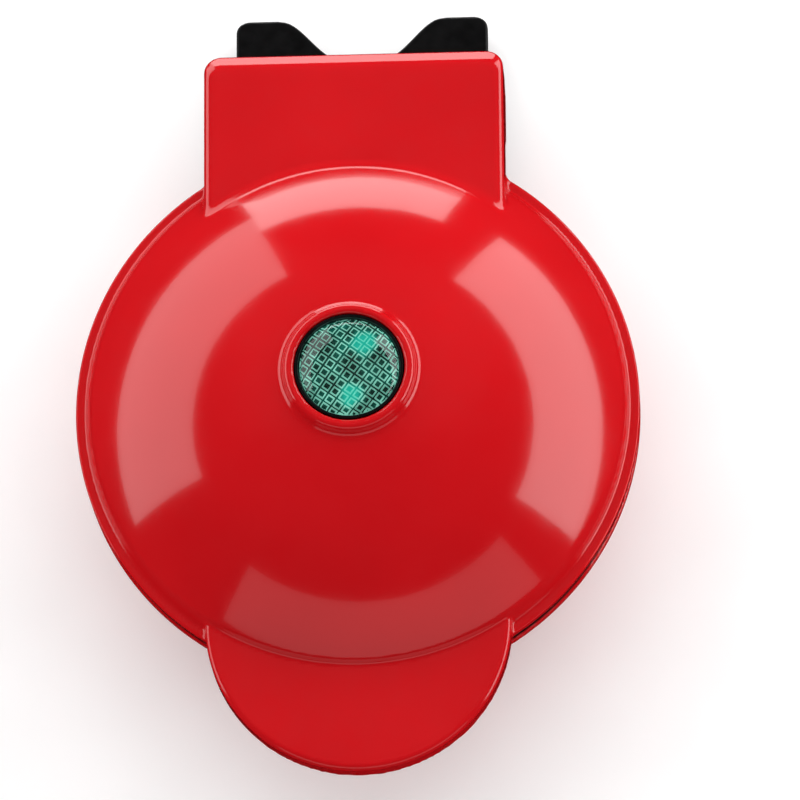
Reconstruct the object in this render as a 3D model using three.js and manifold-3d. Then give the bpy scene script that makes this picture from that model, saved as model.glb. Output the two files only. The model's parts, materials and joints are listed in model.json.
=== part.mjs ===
// Compact round waffle maker: a domed lid hinged on a bowl-shaped base, each holding a heated grid
// plate. Millimetres, +Z up, handle towards -Y, hinge towards +Y. The origin is on the surface that
// the appliance stands on, under the middle of its whole length.
//
// The lid and the base are drawn as two halves. In each half the parting plane is at height 0, the
// outside is up, and the cooking axis is x = y = 0. The base's half is then turned over.
import * as THREE from "three";
import { mergeVertices } from "three/addons/utils/BufferGeometryUtils.js";
import Module from "manifold-3d";

const wasm = await Module();
wasm.setup();

// ---- driving dimensions ----
const PARTING_Z = 36; // parting plane above the table
const GAP = 0.3; // clearance between pieces that touch
const WALL = 1.8; // thickness of the covers
const ROUND = 32; // sides of a large round shape
const SMALL_ROUND = 8; // sides of a screw or post

// covers; h is the lower and upper height from the parting plane
const RIM_R = 63.5;
const RIM = [1.5, 4]; // the rim's lower and upper height
const RIM_EDGE = 0.4;
const RIM_SPACE_H = 2.8; // top of the hollow inside the rim
const FOOT_OF_DOME_R = 61.3;
const DOME = { startR: 60.8, startH: 6.2, apexH: 35 };
const SPHERE_RISE = DOME.apexH - DOME.startH;
const SPHERE_R = (DOME.startR ** 2 + SPHERE_RISE ** 2) / (2 * SPHERE_RISE);
const SPHERE_H = DOME.apexH - SPHERE_R;
const COLLAR = { footR: 16.5, edgeR: 15.2, crest: [14, 13.1], holeR: 12.3, edgeH: 35.7, topH: 36.3 };
const TAB = { halfX: 34, reach: 82, topH: 13, corner: 4 }; // hinge cover at the back of the lid
const CHEEK = { topY: [60, 79], tipY: [65, 76], h: [-4.6, 2.5] }; // flaps beside the hinge
const HANDLE = { halfX: 34.2, reach: 84.2, lowH: 0.6, topH: 6.4 }; // half-round tongue of the lid
const GRIP = { halfX: 30, reach: 76, lowH: 0.6, topH: 5.2 }; // shorter tongue of the base
const BOWL = { flatR: 36, flatH: 28 };
const INLET = { halfX: 24, frontY: 30, reach: 76, lowH: 15, topH: 24.5, cordH: 19.8, boreR: 3.1 };
const LEG = { x: 34, y: 30, r: 7, startH: 15, endH: 32.6 };
const POST_R = 3; // screw posts inside the covers
const BASE_POST_R = 5;
const STAND_POST_R = 3.5;

// frames
const FRAME_INNER_R = 57;
const SHELF = { innerR: 52.9, outerR: 58.2, h: [2.8, 4] };
const TRAY_H = 2.3; // top of the flat face of a tongue
const RECESS = { r: 2.6, h: 2 }; // round recess for a screw head in a frame
const RECESS_BOSS = { r: 4, topH: 3.2 };

// hinge
const PIN = { y: 70.5, r: 2, x: [18, 31.9] };
const KNUCKLE = { r: 5.2, x: [15, 29.1] };
const EAR = { r: 5, x: [29.4, 31.9] };
const NECK = { y: [45, 65], topH: 10 }; // joins the base frame to its knuckles
const LUG_Y = [60, 69.5];
const ARM = { x: [22, 31.9], y: [44, 64.4], topH: 3.6 }; // joins the lid frame to its ears
const TUNNEL = { halfX: 2.6, y: [50, 70], h: [4.6, 9.2] }; // way through the neck for the lead

// cooking plates and what sits on their backs
const PLATE_R = 56.5;
const CAVITY = { r: 50.8, floorR: 46.5, floorH: 9.2 };
const PLATE_BACK = 11.8;
const PLATE_RIM_H = 2.5;
const PLATE_WALL = [[52.5, PLATE_RIM_H], [49.6, 8.6]]; // outside of the dish's wall
const FLOOR_CHAMFER = 1.7;
const STUD = { pitch: 15, foot: 9.6, head: 7.4, height: 5.2 };
const BOSS = { xy: 18.4, r: 4, topH: 18.6 };
const ELEMENT = { r: 36, tubeR: 3, gapDegrees: 9, terminalR: 1, terminalY: [34, 44] };
const SHIELD = { r: 40.5, holeR: 8.2, h: [18.9, 19.5], lipH: 16.5, lip: 0.6 };
const THERMOSTAT = { r: 9.6, capR: 7.6, capH: 22, tabX: [3.4, 4.2], tabHalfY: 2.4, tabH: [21.5, 23.6] };
const FUSE = { r: 2, halfX: 6, leadR: 0.6, leadHalfX: 14, h: 14.6 };
const CLIP = { halfX: 3, footY: 9, bridgeY: 2.4, bridgeH: 16.9, sheet: 0.8, holeR: 1.2 };
const TERMINALS = { halfX: 10, y: [61, 70], height: 5, boreX: [-6, 0, 6], boreR: 1.4 };

// indicator in the lid's collar
const LENS = { r: 11, hollowR: 9.6, lowH: 30.2, hollowH: 34.2, edgeH: 35.3, crownH: 39 };
const BEZEL = { innerR: 11.3, outerR: 12, flangeR: 13.6, flangeH: 31.2, topH: 35.9 };
const HOLDER = { r: 12.4, halfX: 21.8, halfY: 4, h: [28, 29.4] }; // carries the lens and both lamps
const SOCKET = { r: 3.6, boreR: 2.5, lowH: 25.2 };
const LAMP = { r: 2.1, tipR: 1.2, lowH: 24, shoulderH: 31.8, domeH: 33.2, topH: 33.6 };
const LAMPS = { power: [3.2, 3.2], ready: [1.4, -4.3] };

// under and behind the base
const FOOT = { r: 6.2, plugR: 2.4, plugHoleR: 2.7, plugH: 28.4, bevel: 0.6 };
const STAND = { halfX: 29.3, frontY: 50, reach: 103, h: [24.8, 28], footH: 35.2, corner: 2.6, chamfer: 7 };
const NOTCH = { deep: 9.3, halfBottom: 5.5, halfTop: 18.6 }; // space for the cord between the ears
const STAND_LEG = { x: [19.2, 26.7], thick: 3, lowH: 26 };
const GLAND = { sleeveR: 3.7, flangeR: 4.6, tipR: 4, inside: 4, flangeEnd: 1.6, outside: 2.2 };

// the sleeved lead that feeds the upper heater: [y, height] points, one stretch in each half
const LEAD_R = 1.5;
const LOWER_LEAD = [
  [60.3, 19.9], [56.2, 20], [53, 17.4], [53, 13.5], [53.6, 9.8], [56.5, 7.3], [65, 6.8], [69, 5.4],
  [70.5, 2],
];
const UPPER_LEAD = [
  [70.5, 2], [69.6, 5], [66, 7], [60, 7.2], [55.4, 7.6], [51.4, 10.6], [48, 13.4], [43.4, 15],
];

// screws: radii of head, shank and clearance hole, and the height of the head
const SCREW = { head: 2.2, headHeight: 1.4, shank: 1.3, hole: 1.7 };
const LONG_SCREW = { head: 3, headHeight: 1.9, shank: 1.5, hole: 1.8 };
const CLIP_SCREW = { head: 1.8, headHeight: 1, shank: 0.9 };
const LENGTH = { plate: 2.9, shield: 5.6, handle: 3.2, arm: 7, holder: 3.8, base: 11, stand: 7, clip: 2.4 };
const BASE_SEAT_H = 25.3; // where the heads of the base's screws sit

const bossPlaces = [[1, 1], [-1, -1], [1, -1], [-1, 1]].map(([i, j]) => [i * BOSS.xy, j * BOSS.xy]);
const SHIELD_SCREWS = bossPlaces.slice(0, 2);
const BASE_SCREWS = bossPlaces.slice(2);
const PLATE_SCREW_R = 55;
const PLATE_SCREWS = [45, 135, 225, 315].map((degrees) => {
  const a = THREE.MathUtils.degToRad(degrees);
  return [PLATE_SCREW_R * Math.cos(a), PLATE_SCREW_R * Math.sin(a)];
});
const HANDLE_SCREWS = [[15, -70], [-15, -70]];
const ARM_SCREWS = [[25, 60.5], [-25, 60.5]];
const HOLDER_SCREWS = [[19, 0], [-19, 0]];
const STAND_SCREWS = [[16, 63], [-16, 63]];
const CLIP_SCREWS = [[0, 6.8], [0, -6.8]];

// ---- materials ----
function finish(color, roughness, metalness) {
  return new THREE.MeshStandardMaterial({ color, roughness, metalness });
}
const redGloss = finish(0xd0141a, 0.12, 0);
const blackPlastic = finish(0x141414, 0.5, 0);
const nonStick = finish(0x1d1d1f, 0.45, 0.3);
const steel = finish(0xb4b6b8, 0.35, 1);
const greenLens = finish(0x1f9c86, 0.08, 0);
const whiteNylon = finish(0xe8e6e0, 0.5, 0);
const ceramic = finish(0xe9e4d6, 0.6, 0);
const rubber = finish(0x202020, 0.8, 0);
const sleeving = finish(0xd8d2c4, 0.7, 0);
const lampGlass = finish(0x9ff0d8, 0.1, 0);

// ---- solids ----
// A closed geometry as a manifold solid, with its faces turned to point out.
function solid(geometry) {
  const bare = geometry.clone();
  bare.deleteAttribute("normal");
  bare.deleteAttribute("uv");
  const merged = mergeVertices(bare, 1e-4);
  const corners = merged.index.array;
  const faces = [];
  for (let i = 0; i < corners.length; i += 3) {
    const [a, b, c] = corners.subarray(i, i + 3);
    if (a !== b && b !== c && c !== a) faces.push(a, b, c);
  }
  const vertProperties = new Float32Array(merged.attributes.position.array);
  const build = (list) =>
    new wasm.Manifold(
      new wasm.Mesh({ numProp: 3, vertProperties, triVerts: new Uint32Array(list) }),
    );
  const made = build(faces);
  return made.volume() > 0 ? made : build(faces.reverse());
}

function geometryOf(manifold) {
  const { numProp, numVert, vertProperties, triVerts } = manifold.getMesh();
  const position = new Float32Array(numVert * 3);
  for (let i = 0; i < numVert; i++) {
    position.set(vertProperties.subarray(i * numProp, i * numProp + 3), i * 3);
  }
  const geometry = new THREE.BufferGeometry();
  geometry.setAttribute("position", new THREE.BufferAttribute(position, 3));
  geometry.setIndex(new THREE.BufferAttribute(triVerts, 1));
  geometry.computeVertexNormals();
  return geometry;
}

const join = (...parts) => parts.reduce((a, b) => a.add(b));
const cut = (body, ...tools) => tools.reduce((a, b) => a.subtract(b), body);
const both = (make) => join(make(1), make(-1));
const between = (side, [inner, outer]) => [side * inner, side * outer].sort((a, b) => a - b);

// Geometry turned about the vertical axis from [radius, height] points.
function lathe(points, sides) {
  const closed = points[0][0] === 0 ? points : [...points, points[0]];
  const profile = closed.map(([r, h]) => new THREE.Vector2(r, h));
  return new THREE.LatheGeometry(profile, sides).rotateX(Math.PI / 2);
}

const turned = (points, sides = ROUND) => solid(lathe(points, sides));
const drum = (r, low, high) => [[0, low], [r, low], [r, high], [0, high]];
const disc = (r, low, high, sides = ROUND) => turned(drum(r, low, high), sides);

function post(x, y, r, low, high, sides = SMALL_ROUND) {
  return solid(lathe(drum(r, low, high), sides).translate(x, y, 0));
}

const posts = (places, ...size) => places.map(([x, y]) => post(x, y, ...size));

function alongX(r, x0, x1, y, h, sides = 12) {
  return solid(lathe(drum(r, 0, x1 - x0), sides).rotateY(Math.PI / 2).translate(x0, y, h));
}

function alongY(points, h, sides = 16) {
  return solid(lathe(points, sides).rotateX(-Math.PI / 2).translate(0, 0, h));
}

function box(x0, x1, y0, y1, low, high) {
  const block = new THREE.BoxGeometry(x1 - x0, y1 - y0, high - low);
  return solid(block.translate((x0 + x1) / 2, (y0 + y1) / 2, (low + high) / 2));
}

// A plan outline raised from one height to another.
function raised(shape, low, high, curveSegments = 5) {
  const settings = { depth: high - low, bevelEnabled: false, curveSegments };
  return solid(new THREE.ExtrudeGeometry(shape, settings).translate(0, 0, low));
}

// A side outline of [y, height] points, from x0 to x1.
function slice(points, x0, x1) {
  const shape = new THREE.Shape(points.map(([y, h]) => new THREE.Vector2(y, h)));
  const slab = new THREE.ExtrudeGeometry(shape, { depth: x1 - x0, bevelEnabled: false });
  slab.rotateY(Math.PI / 2).rotateX(Math.PI / 2);
  return solid(slab.translate(x0, 0, 0));
}

// A round bar along a smooth curve.
function bar(curve, r, steps, sides = 8) {
  const section = new THREE.Shape();
  section.absarc(0, 0, r, 0, 2 * Math.PI, false);
  const settings = { steps, extrudePath: curve, bevelEnabled: false, curveSegments: sides / 2 };
  return solid(new THREE.ExtrudeGeometry(section, settings));
}

// ---- plan outlines ----
const OUTLINE_START = 20; // outlines begin this far from the cooking axis, inside the dome

// Straight-sided outline with rounded far corners; inset makes it smaller all round.
function tabOutline(inset = 0) {
  const halfX = TAB.halfX - inset;
  const reach = TAB.reach - inset;
  const corner = TAB.corner - inset;
  const shape = new THREE.Shape();
  shape.moveTo(-halfX, OUTLINE_START);
  shape.lineTo(halfX, OUTLINE_START);
  shape.absarc(halfX - corner, reach - corner, corner, 0, Math.PI / 2, false);
  shape.absarc(corner - halfX, reach - corner, corner, Math.PI / 2, Math.PI, false);
  return shape;
}

// A tongue that ends in a half circle.
function tongueOutline(tongue, inset = 0) {
  const halfX = tongue.halfX - inset;
  const shape = new THREE.Shape();
  shape.moveTo(halfX, -OUTLINE_START);
  shape.lineTo(-halfX, -OUTLINE_START);
  shape.absarc(0, tongue.halfX - tongue.reach, halfX, Math.PI, 2 * Math.PI, false);
  return shape;
}

// The stand's plate: two ears with a notch between them.
function standOutline() {
  const { halfX, frontY, reach, corner, chamfer } = STAND;
  const { halfBottom, halfTop } = NOTCH;
  const bottomY = reach - NOTCH.deep;
  const shape = new THREE.Shape();
  shape.moveTo(chamfer - halfX, frontY);
  shape.lineTo(halfX - chamfer, frontY);
  shape.lineTo(halfX, frontY + chamfer);
  shape.absarc(halfX - corner, reach - corner, corner, 0, Math.PI / 2, false);
  shape.lineTo(halfTop, reach);
  shape.bezierCurveTo(halfTop - 4, reach - 1, halfBottom + 6, bottomY, halfBottom, bottomY);
  shape.lineTo(-halfBottom, bottomY);
  shape.bezierCurveTo(-halfBottom - 6, bottomY, 4 - halfTop, reach - 1, -halfTop, reach);
  shape.absarc(corner - halfX, reach - corner, corner, Math.PI / 2, Math.PI, false);
  shape.lineTo(-halfX, frontY + chamfer);
  return shape;
}

// ---- covers ----
const domeH = (r, inset) => SPHERE_H + Math.sqrt((SPHERE_R - inset) ** 2 - r * r);

function domeArc(fromR, toR, steps, inset) {
  return Array.from({ length: steps + 1 }, (_, i) => {
    const r = fromR + ((toR - fromR) * i) / steps;
    return [r, domeH(r, inset)];
  });
}

// Quarter ellipse from the bowl's flat underside up to its rim.
function bowlArc(steps, inset) {
  return Array.from({ length: steps + 1 }, (_, i) => {
    const a = (Math.PI / 2) * (1 - i / steps);
    const across = FOOT_OF_DOME_R - inset - BOWL.flatR;
    const down = BOWL.flatH - inset - RIM[1];
    return [BOWL.flatR + across * Math.cos(a), RIM[1] + down * Math.sin(a)];
  });
}

function tongueShell(tongue) {
  const overFrame = disc(RIM_R, -1, RIM[0]);
  return cut(raised(tongueOutline(tongue), tongue.lowH, tongue.topH, 10), overFrame);
}

const tongueSpace = (tongue) => raised(tongueOutline(tongue, WALL), -1, tongue.topH - WALL, 10);

const rimOutside = [
  [0, RIM[0]], [RIM_R, RIM[0]], [RIM_R, RIM[1] - RIM_EDGE], [RIM_R - RIM_EDGE, RIM[1]],
];
const rimInside = [
  [0, RIM[0] - 1], [RIM_R - WALL, RIM[0] - 1], [RIM_R - WALL, RIM_SPACE_H],
  [FOOT_OF_DOME_R - WALL, RIM_SPACE_H],
];

function lidCover() {
  const outside = turned([
    ...rimOutside, [FOOT_OF_DOME_R, RIM[1]], ...domeArc(DOME.startR, COLLAR.footR, 5, 0),
    [COLLAR.edgeR, COLLAR.edgeH], [COLLAR.crest[0], COLLAR.topH], [COLLAR.crest[1], COLLAR.topH],
    [COLLAR.holeR, COLLAR.edgeH], [0, COLLAR.edgeH],
  ]);
  const inside = turned([...rimInside, ...domeArc(FOOT_OF_DOME_R - WALL, 0, 6, WALL)]);
  const tab = raised(tabOutline(), RIM[0], TAB.topH);
  const tabSpace = raised(tabOutline(WALL), RIM[0] - 1, TAB.topH - WALL);
  const shell = cut(join(outside, tab, tongueShell(HANDLE)), inside, tabSpace, tongueSpace(HANDLE));
  const [cheekLow, cheekTop] = CHEEK.h;
  const cheek = [
    [CHEEK.topY[0], cheekTop], [CHEEK.tipY[0], cheekLow], [CHEEK.tipY[1], cheekLow],
    [CHEEK.topY[1], cheekTop],
  ];
  const cheeks = both((side) => slice(cheek, ...between(side, [TAB.halfX - WALL, TAB.halfX])));
  const underHandle = HANDLE.topH - WALL;
  const underTab = TAB.topH - WALL;
  const screwPosts = join(
    ...posts(HANDLE_SCREWS, POST_R, RECESS_BOSS.topH + GAP, underHandle + 0.5),
    ...posts(ARM_SCREWS, POST_R, ARM.topH + GAP, underTab + 0.5),
    ...posts(HOLDER_SCREWS, POST_R, HOLDER.h[1] + GAP, domeH(HOLDER_SCREWS[0][0], WALL / 2)),
  );
  const screwHoles = [
    ...posts(HANDLE_SCREWS, SCREW.hole, 3, underHandle + 0.6),
    ...posts(ARM_SCREWS, SCREW.hole, 3, 10),
    ...posts(HOLDER_SCREWS, SCREW.hole, 29, 31.9),
  ];
  const lensHole = disc(COLLAR.holeR, 27, COLLAR.topH + 1);
  return cut(join(shell, cheeks, screwPosts), lensHole, ...screwHoles);
}

function baseCover() {
  const outside = turned([...rimOutside, ...bowlArc(5, 0).reverse(), [0, BOWL.flatH]]);
  const inside = turned([...rimInside, ...bowlArc(5, WALL).reverse(), [0, BOWL.flatH - WALL]]);
  const { halfX, frontY, reach, lowH, topH, cordH } = INLET;
  const inletInside = [WALL - halfX, halfX - WALL, frontY, reach - WALL, lowH + WALL, topH - WALL];
  const legs = [1, -1].flatMap((i) => [1, -1].map((j) => [i * LEG.x, j * LEG.y]));
  const shell = cut(
    join(
      outside, box(-halfX, halfX, frontY, reach, lowH, topH), tongueShell(GRIP),
      ...posts(legs, LEG.r, LEG.startH, LEG.endH, 16),
    ),
    inside, box(...inletInside), tongueSpace(GRIP),
  );
  const neckHalfX = KNUCKLE.x[1] + GAP;
  const neckSpace = box(-neckHalfX, neckHalfX, NECK.y[0], reach + 4, -1, NECK.topH + GAP);
  const screwPosts = join(
    ...posts(BASE_SCREWS, BASE_POST_R, SHIELD.h[1] + GAP, BOWL.flatH - 0.5),
    ...posts(STAND_SCREWS, STAND_POST_R, lowH + 3, topH - 0.5),
  );
  const screwHoles = [
    ...posts(BASE_SCREWS, LONG_SCREW.hole, 19, 27),
    ...posts(BASE_SCREWS, LONG_SCREW.head + 0.4, BASE_SEAT_H, 29),
    ...posts(STAND_SCREWS, SCREW.hole, 19.4, 26),
    ...posts(legs, FOOT.plugHoleR, FOOT.plugH - GAP, LEG.endH + 1),
  ];
  const cordHole = alongY(drum(INLET.boreR + 0.9, reach - 5, reach + 1), cordH);
  return cut(join(cut(shell, neckSpace), screwPosts), cordHole, ...screwHoles);
}

// ---- frames ----
// The ring that carries a plate's edge and meets the cover's rim, with the tongue's flat face.
function frameRing(tongue, screwPlaces) {
  const ring = turned([
    [FRAME_INNER_R, GAP], [RIM_R - GAP, GAP], [RIM_R - GAP, RIM[0] - GAP],
    [SHELF.outerR, RIM[0] - GAP], [SHELF.outerR, SHELF.h[1]], [SHELF.innerR, SHELF.h[1]],
    [SHELF.innerR, SHELF.h[0]], [FRAME_INNER_R, SHELF.h[0]],
  ]);
  const tray = cut(
    raised(tongueOutline(tongue, WALL + GAP), GAP, TRAY_H, 10),
    cut(raised(tongueOutline(tongue, WALL + 2), RIM[0], 4, 10), disc(RIM_R + 1.5, 0, 5)),
    disc(FRAME_INNER_R, 0, 4),
  );
  return cut(
    join(ring, tray, ...posts(screwPlaces, RECESS_BOSS.r, GAP, RECESS_BOSS.topH)),
    ...posts(screwPlaces, RECESS.r, 0, RECESS.h),
    ...posts(screwPlaces, SCREW.hole, 0, 4),
  );
}

const pinHoles = (x0, x1) => [
  alongX(PIN.r + GAP, x0, x1, PIN.y, 0),
  alongX(PIN.r + GAP, -x1, -x0, PIN.y, 0),
];

function lidFrame() {
  const arms = both((side) => box(...between(side, ARM.x), ...ARM.y, GAP, ARM.topH));
  const outline = [
    [56, GAP], [65, GAP], [67, -3.6], [PIN.y, -EAR.r], [74, -3.5], [PIN.y + EAR.r, 0],
    [74, 3.5], [PIN.y, 6.4], [56, 7],
  ];
  const ears = both((side) => slice(outline, ...between(side, EAR.x)));
  return cut(
    join(
      frameRing(HANDLE, HANDLE_SCREWS),
      cut(join(arms, ears), disc(FRAME_INNER_R, 0, 12)),
    ),
    ...pinHoles(EAR.x[0] - 1, EAR.x[1] + 1),
    ...posts(ARM_SCREWS, RECESS.r, 0, RECESS.h),
    ...posts(ARM_SCREWS, SCREW.hole, 0, 5),
    ...posts(PLATE_SCREWS, SCREW.hole, 2, 6),
  );
}

function baseFrame() {
  const halfX = KNUCKLE.x[1];
  const neck = cut(box(-halfX, halfX, ...NECK.y, GAP, NECK.topH), disc(FRAME_INNER_R, 0, 12));
  const lugs = both((side) => {
    const [x0, x1] = between(side, KNUCKLE.x);
    return join(box(x0, x1, ...LUG_Y, GAP, NECK.topH), alongX(KNUCKLE.r, x0, x1, PIN.y, 0, 16));
  });
  const leadTunnel = box(-TUNNEL.halfX, TUNNEL.halfX, ...TUNNEL.y, ...TUNNEL.h);
  return cut(
    join(frameRing(GRIP, []), neck, lugs),
    leadTunnel,
    ...pinHoles(PIN.x[0] - GAP, halfX + 1),
    ...posts(PLATE_SCREWS, SCREW.hole, 2, 6),
  );
}

// ---- cooking plate, heater and shield: the same pieces in both halves ----
function studPlaces() {
  const steps = [-3, -2, -1, 0, 1, 2, 3];
  const grid = steps.flatMap((i) => steps.map((j) => [i, j]));
  const inside = grid.filter(([i, j]) => Math.hypot(i, j) * STUD.pitch < CAVITY.floorR - 4);
  return inside.map(([i, j]) => [i * STUD.pitch, j * STUD.pitch]);
}

function stud([x, y]) {
  const halfDiagonal = Math.SQRT2 / 2;
  const root = 0.6; // how far the stud reaches into the plate's floor
  const height = STUD.height + root;
  const frustum = new THREE.CylinderGeometry(
    STUD.foot * halfDiagonal, STUD.head * halfDiagonal, height, 4,
  );
  frustum.rotateY(Math.PI / 4).rotateX(Math.PI / 2);
  return solid(frustum.translate(x, y, CAVITY.floorH + root - height / 2));
}

function cookingPlate() {
  const dish = turned([
    [0, CAVITY.floorH], [CAVITY.floorR, CAVITY.floorH],
    [CAVITY.floorR + FLOOR_CHAMFER, CAVITY.floorH - FLOOR_CHAMFER],
    [CAVITY.r, GAP], [PLATE_R, GAP], [PLATE_R, PLATE_RIM_H], ...PLATE_WALL,
    [CAVITY.floorR, PLATE_BACK], [0, PLATE_BACK],
  ]);
  const bosses = posts(bossPlaces, BOSS.r, PLATE_BACK - 0.5, BOSS.topH, 12);
  return cut(
    join(dish, ...bosses, ...studPlaces().map(stud)),
    ...posts(bossPlaces, LONG_SCREW.hole, 13.4, BOSS.topH + 1),
    ...posts(PLATE_SCREWS, SCREW.hole, 1.1, 3),
    ...posts(CLIP_SCREWS, CLIP.holeR, 10.4, PLATE_BACK + 1),
  );
}

function heatingElement() {
  const h = PLATE_BACK + GAP + ELEMENT.tubeR;
  const gapAngle = THREE.MathUtils.degToRad(ELEMENT.gapDegrees);
  const turns = Array.from({ length: 25 }, (_, i) => {
    const a = Math.PI / 2 + gapAngle + ((2 * Math.PI - 2 * gapAngle) * i) / 24;
    return new THREE.Vector3(ELEMENT.r * Math.cos(a), ELEMENT.r * Math.sin(a), h);
  });
  const tube = bar(new THREE.CatmullRomCurve3(turns), ELEMENT.tubeR, 36);
  const x = ELEMENT.r * Math.sin(gapAngle) + 1.4;
  const terminals = [x, -x].map((at) => {
    const rod = lathe(drum(ELEMENT.terminalR, ...ELEMENT.terminalY), SMALL_ROUND);
    rod.rotateX(-Math.PI / 2);
    return solid(rod.translate(at, 0, h));
  });
  return join(tube, ...terminals);
}

function heatShield() {
  const { r, holeR, h, lipH, lip } = SHIELD;
  const dish = turned([
    [holeR, h[0]], [r - lip, h[0]], [r - lip, lipH], [r, lipH], [r, h[1]], [holeR, h[1]],
  ]);
  return cut(dish, ...posts(bossPlaces, LONG_SCREW.hole, 18, 21));
}

// ---- lid details ----
function thermostat() {
  const low = PLATE_BACK + GAP;
  const shoulder = SHIELD.h[0] - GAP;
  const { r, capR, capH, tabX, tabHalfY, tabH } = THERMOSTAT;
  const body = turned(
    [[0, low], [r, low], [r, shoulder], [capR, shoulder], [capR, capH], [0, capH]],
    20,
  );
  const tabs = both((side) => box(...between(side, tabX), -tabHalfY, tabHalfY, ...tabH));
  return join(body, tabs);
}

function lensBezel() {
  const { innerR, outerR, flangeR, flangeH, topH } = BEZEL;
  return turned([
    [innerR, LENS.lowH], [flangeR, LENS.lowH], [flangeR, flangeH], [outerR, flangeH],
    [outerR, topH], [innerR, topH],
  ]);
}

function indicatorLens() {
  const { r, hollowR, lowH, hollowH, edgeH, crownH } = LENS;
  const sphere = (r * r + (crownH - edgeH) ** 2) / (2 * (crownH - edgeH));
  const crown = [1, 0.75, 0.5, 0.25, 0].map((part) => {
    const at = r * part;
    return [at, crownH - sphere + Math.sqrt(sphere ** 2 - at * at)];
  });
  return turned([[0, hollowH], [hollowR, hollowH], [hollowR, lowH], [r, lowH], ...crown]);
}

function lampHolder() {
  const { r, halfX, halfY, h } = HOLDER;
  const plate = join(disc(r, ...h, 20), box(-halfX, halfX, -halfY, halfY, ...h));
  const places = Object.values(LAMPS);
  const sockets = posts(places, SOCKET.r, SOCKET.lowH, h[1], 10);
  const bores = posts(places, SOCKET.boreR, SOCKET.lowH - 1, h[1] + 1, 10);
  return cut(join(plate, ...sockets), ...bores, ...posts(HOLDER_SCREWS, SCREW.hole, 28, 30));
}

function lamp() {
  const { r, tipR, lowH, shoulderH, domeH: roundH, topH } = LAMP;
  return turned([[0, lowH], [r, lowH], [r, shoulderH], [tipR, roundH], [0, topH]], 10);
}

// ---- base details ----
function foot() {
  const { r, plugR, plugH, bevel } = FOOT;
  const low = LEG.endH + GAP;
  return turned(
    [[0, plugH], [plugR, plugH], [plugR, low], [r, low], [r, PARTING_Z - bevel],
      [r - bevel, PARTING_Z], [0, PARTING_Z]],
    12,
  );
}

function rearStand() {
  const { reach, h, footH } = STAND;
  const plate = raised(standOutline(), ...h, 4);
  const legs = both((side) =>
    box(...between(side, STAND_LEG.x), reach - STAND_LEG.thick, reach, STAND_LEG.lowH, footH),
  );
  return cut(join(plate, legs), ...posts(STAND_SCREWS, SCREW.hole, 24, 29));
}

function cordGland() {
  const { reach, boreR, cordH } = INLET;
  const { sleeveR, flangeR, tipR, inside, flangeEnd, outside } = GLAND;
  return alongY([
    [boreR, reach - inside], [sleeveR, reach - inside], [sleeveR, reach + GAP],
    [flangeR, reach + GAP], [flangeR, reach + flangeEnd], [tipR, reach + outside],
    [boreR, reach + outside],
  ], cordH);
}

function terminalBlock() {
  const { halfX, y, height, boreX, boreR } = TERMINALS;
  const floor = INLET.topH - WALL - GAP;
  const block = box(-halfX, halfX, ...y, floor - height, floor);
  const bores = boreX.map((x) => {
    const bore = lathe(drum(boreR, y[0] - 1, y[1] + 1), SMALL_ROUND).rotateX(-Math.PI / 2);
    return solid(bore.translate(x, 0, floor - height / 2));
  });
  return cut(block, ...bores);
}

function thermalFuse() {
  const { r, halfX, leadR, leadHalfX, h } = FUSE;
  return join(alongX(r, -halfX, halfX, 0, h, 12), alongX(leadR, -leadHalfX, leadHalfX, 0, h, 8));
}

function fuseClip() {
  const { halfX, footY, bridgeY, bridgeH, sheet, holeR } = CLIP;
  const low = PLATE_BACK + GAP;
  const outerY = bridgeY + sheet;
  const outline = [
    [-footY, low], [-bridgeY, low], [-bridgeY, bridgeH], [bridgeY, bridgeH], [bridgeY, low],
    [footY, low], [footY, low + sheet], [outerY, low + sheet], [outerY, bridgeH + sheet],
    [-outerY, bridgeH + sheet], [-outerY, low + sheet], [-footY, low + sheet],
  ];
  return cut(slice(outline, -halfX, halfX), ...posts(CLIP_SCREWS, holeR, low - 1, low + 2));
}

function lead(route) {
  const points = route.map(([y, h]) => new THREE.Vector3(0, y, h));
  return bar(new THREE.CatmullRomCurve3(points), LEAD_R, 18);
}

function hingePin(side) {
  return alongX(PIN.r, ...between(side, PIN.x), PIN.y, 0);
}

// ---- screws ----
// Head above its seat, shank below, on the seat's own axis.
function screw({ head, headHeight, shank }, length) {
  return turned(
    [[0, -length], [shank, -length], [shank, 0], [head, 0], [head, headHeight], [0, headHeight]],
    SMALL_ROUND,
  );
}

// ---- assembly ----
function node(half, name, material, shape, x = 0, y = 0, h = 0, turnedOver = false) {
  const mesh = new THREE.Mesh(geometryOf(shape), material);
  mesh.name = name;
  mesh.position.set(x, y, h);
  if (turnedOver) mesh.rotation.x = Math.PI;
  half.add(mesh);
}

function screws(half, name, kind, places, seat, length, turnedOver = false) {
  places.forEach(([x, y], i) => {
    node(half, `${name}_${i + 1}`, steel, screw(kind, length), x, y, seat, turnedOver);
  });
}

function plateParts(half, prefix) {
  node(half, `${prefix}_plate`, nonStick, cookingPlate());
  node(half, `${prefix}_heating_element`, steel, heatingElement());
  node(half, `${prefix}_heat_shield`, steel, heatShield());
  screws(half, `${prefix}_plate_screw`, SCREW, PLATE_SCREWS, SHELF.h[1] + GAP, LENGTH.plate);
  const onShield = SHIELD.h[1] + GAP;
  screws(half, `${prefix}_shield_screw`, LONG_SCREW, SHIELD_SCREWS, onShield, LENGTH.shield);
}

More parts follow.
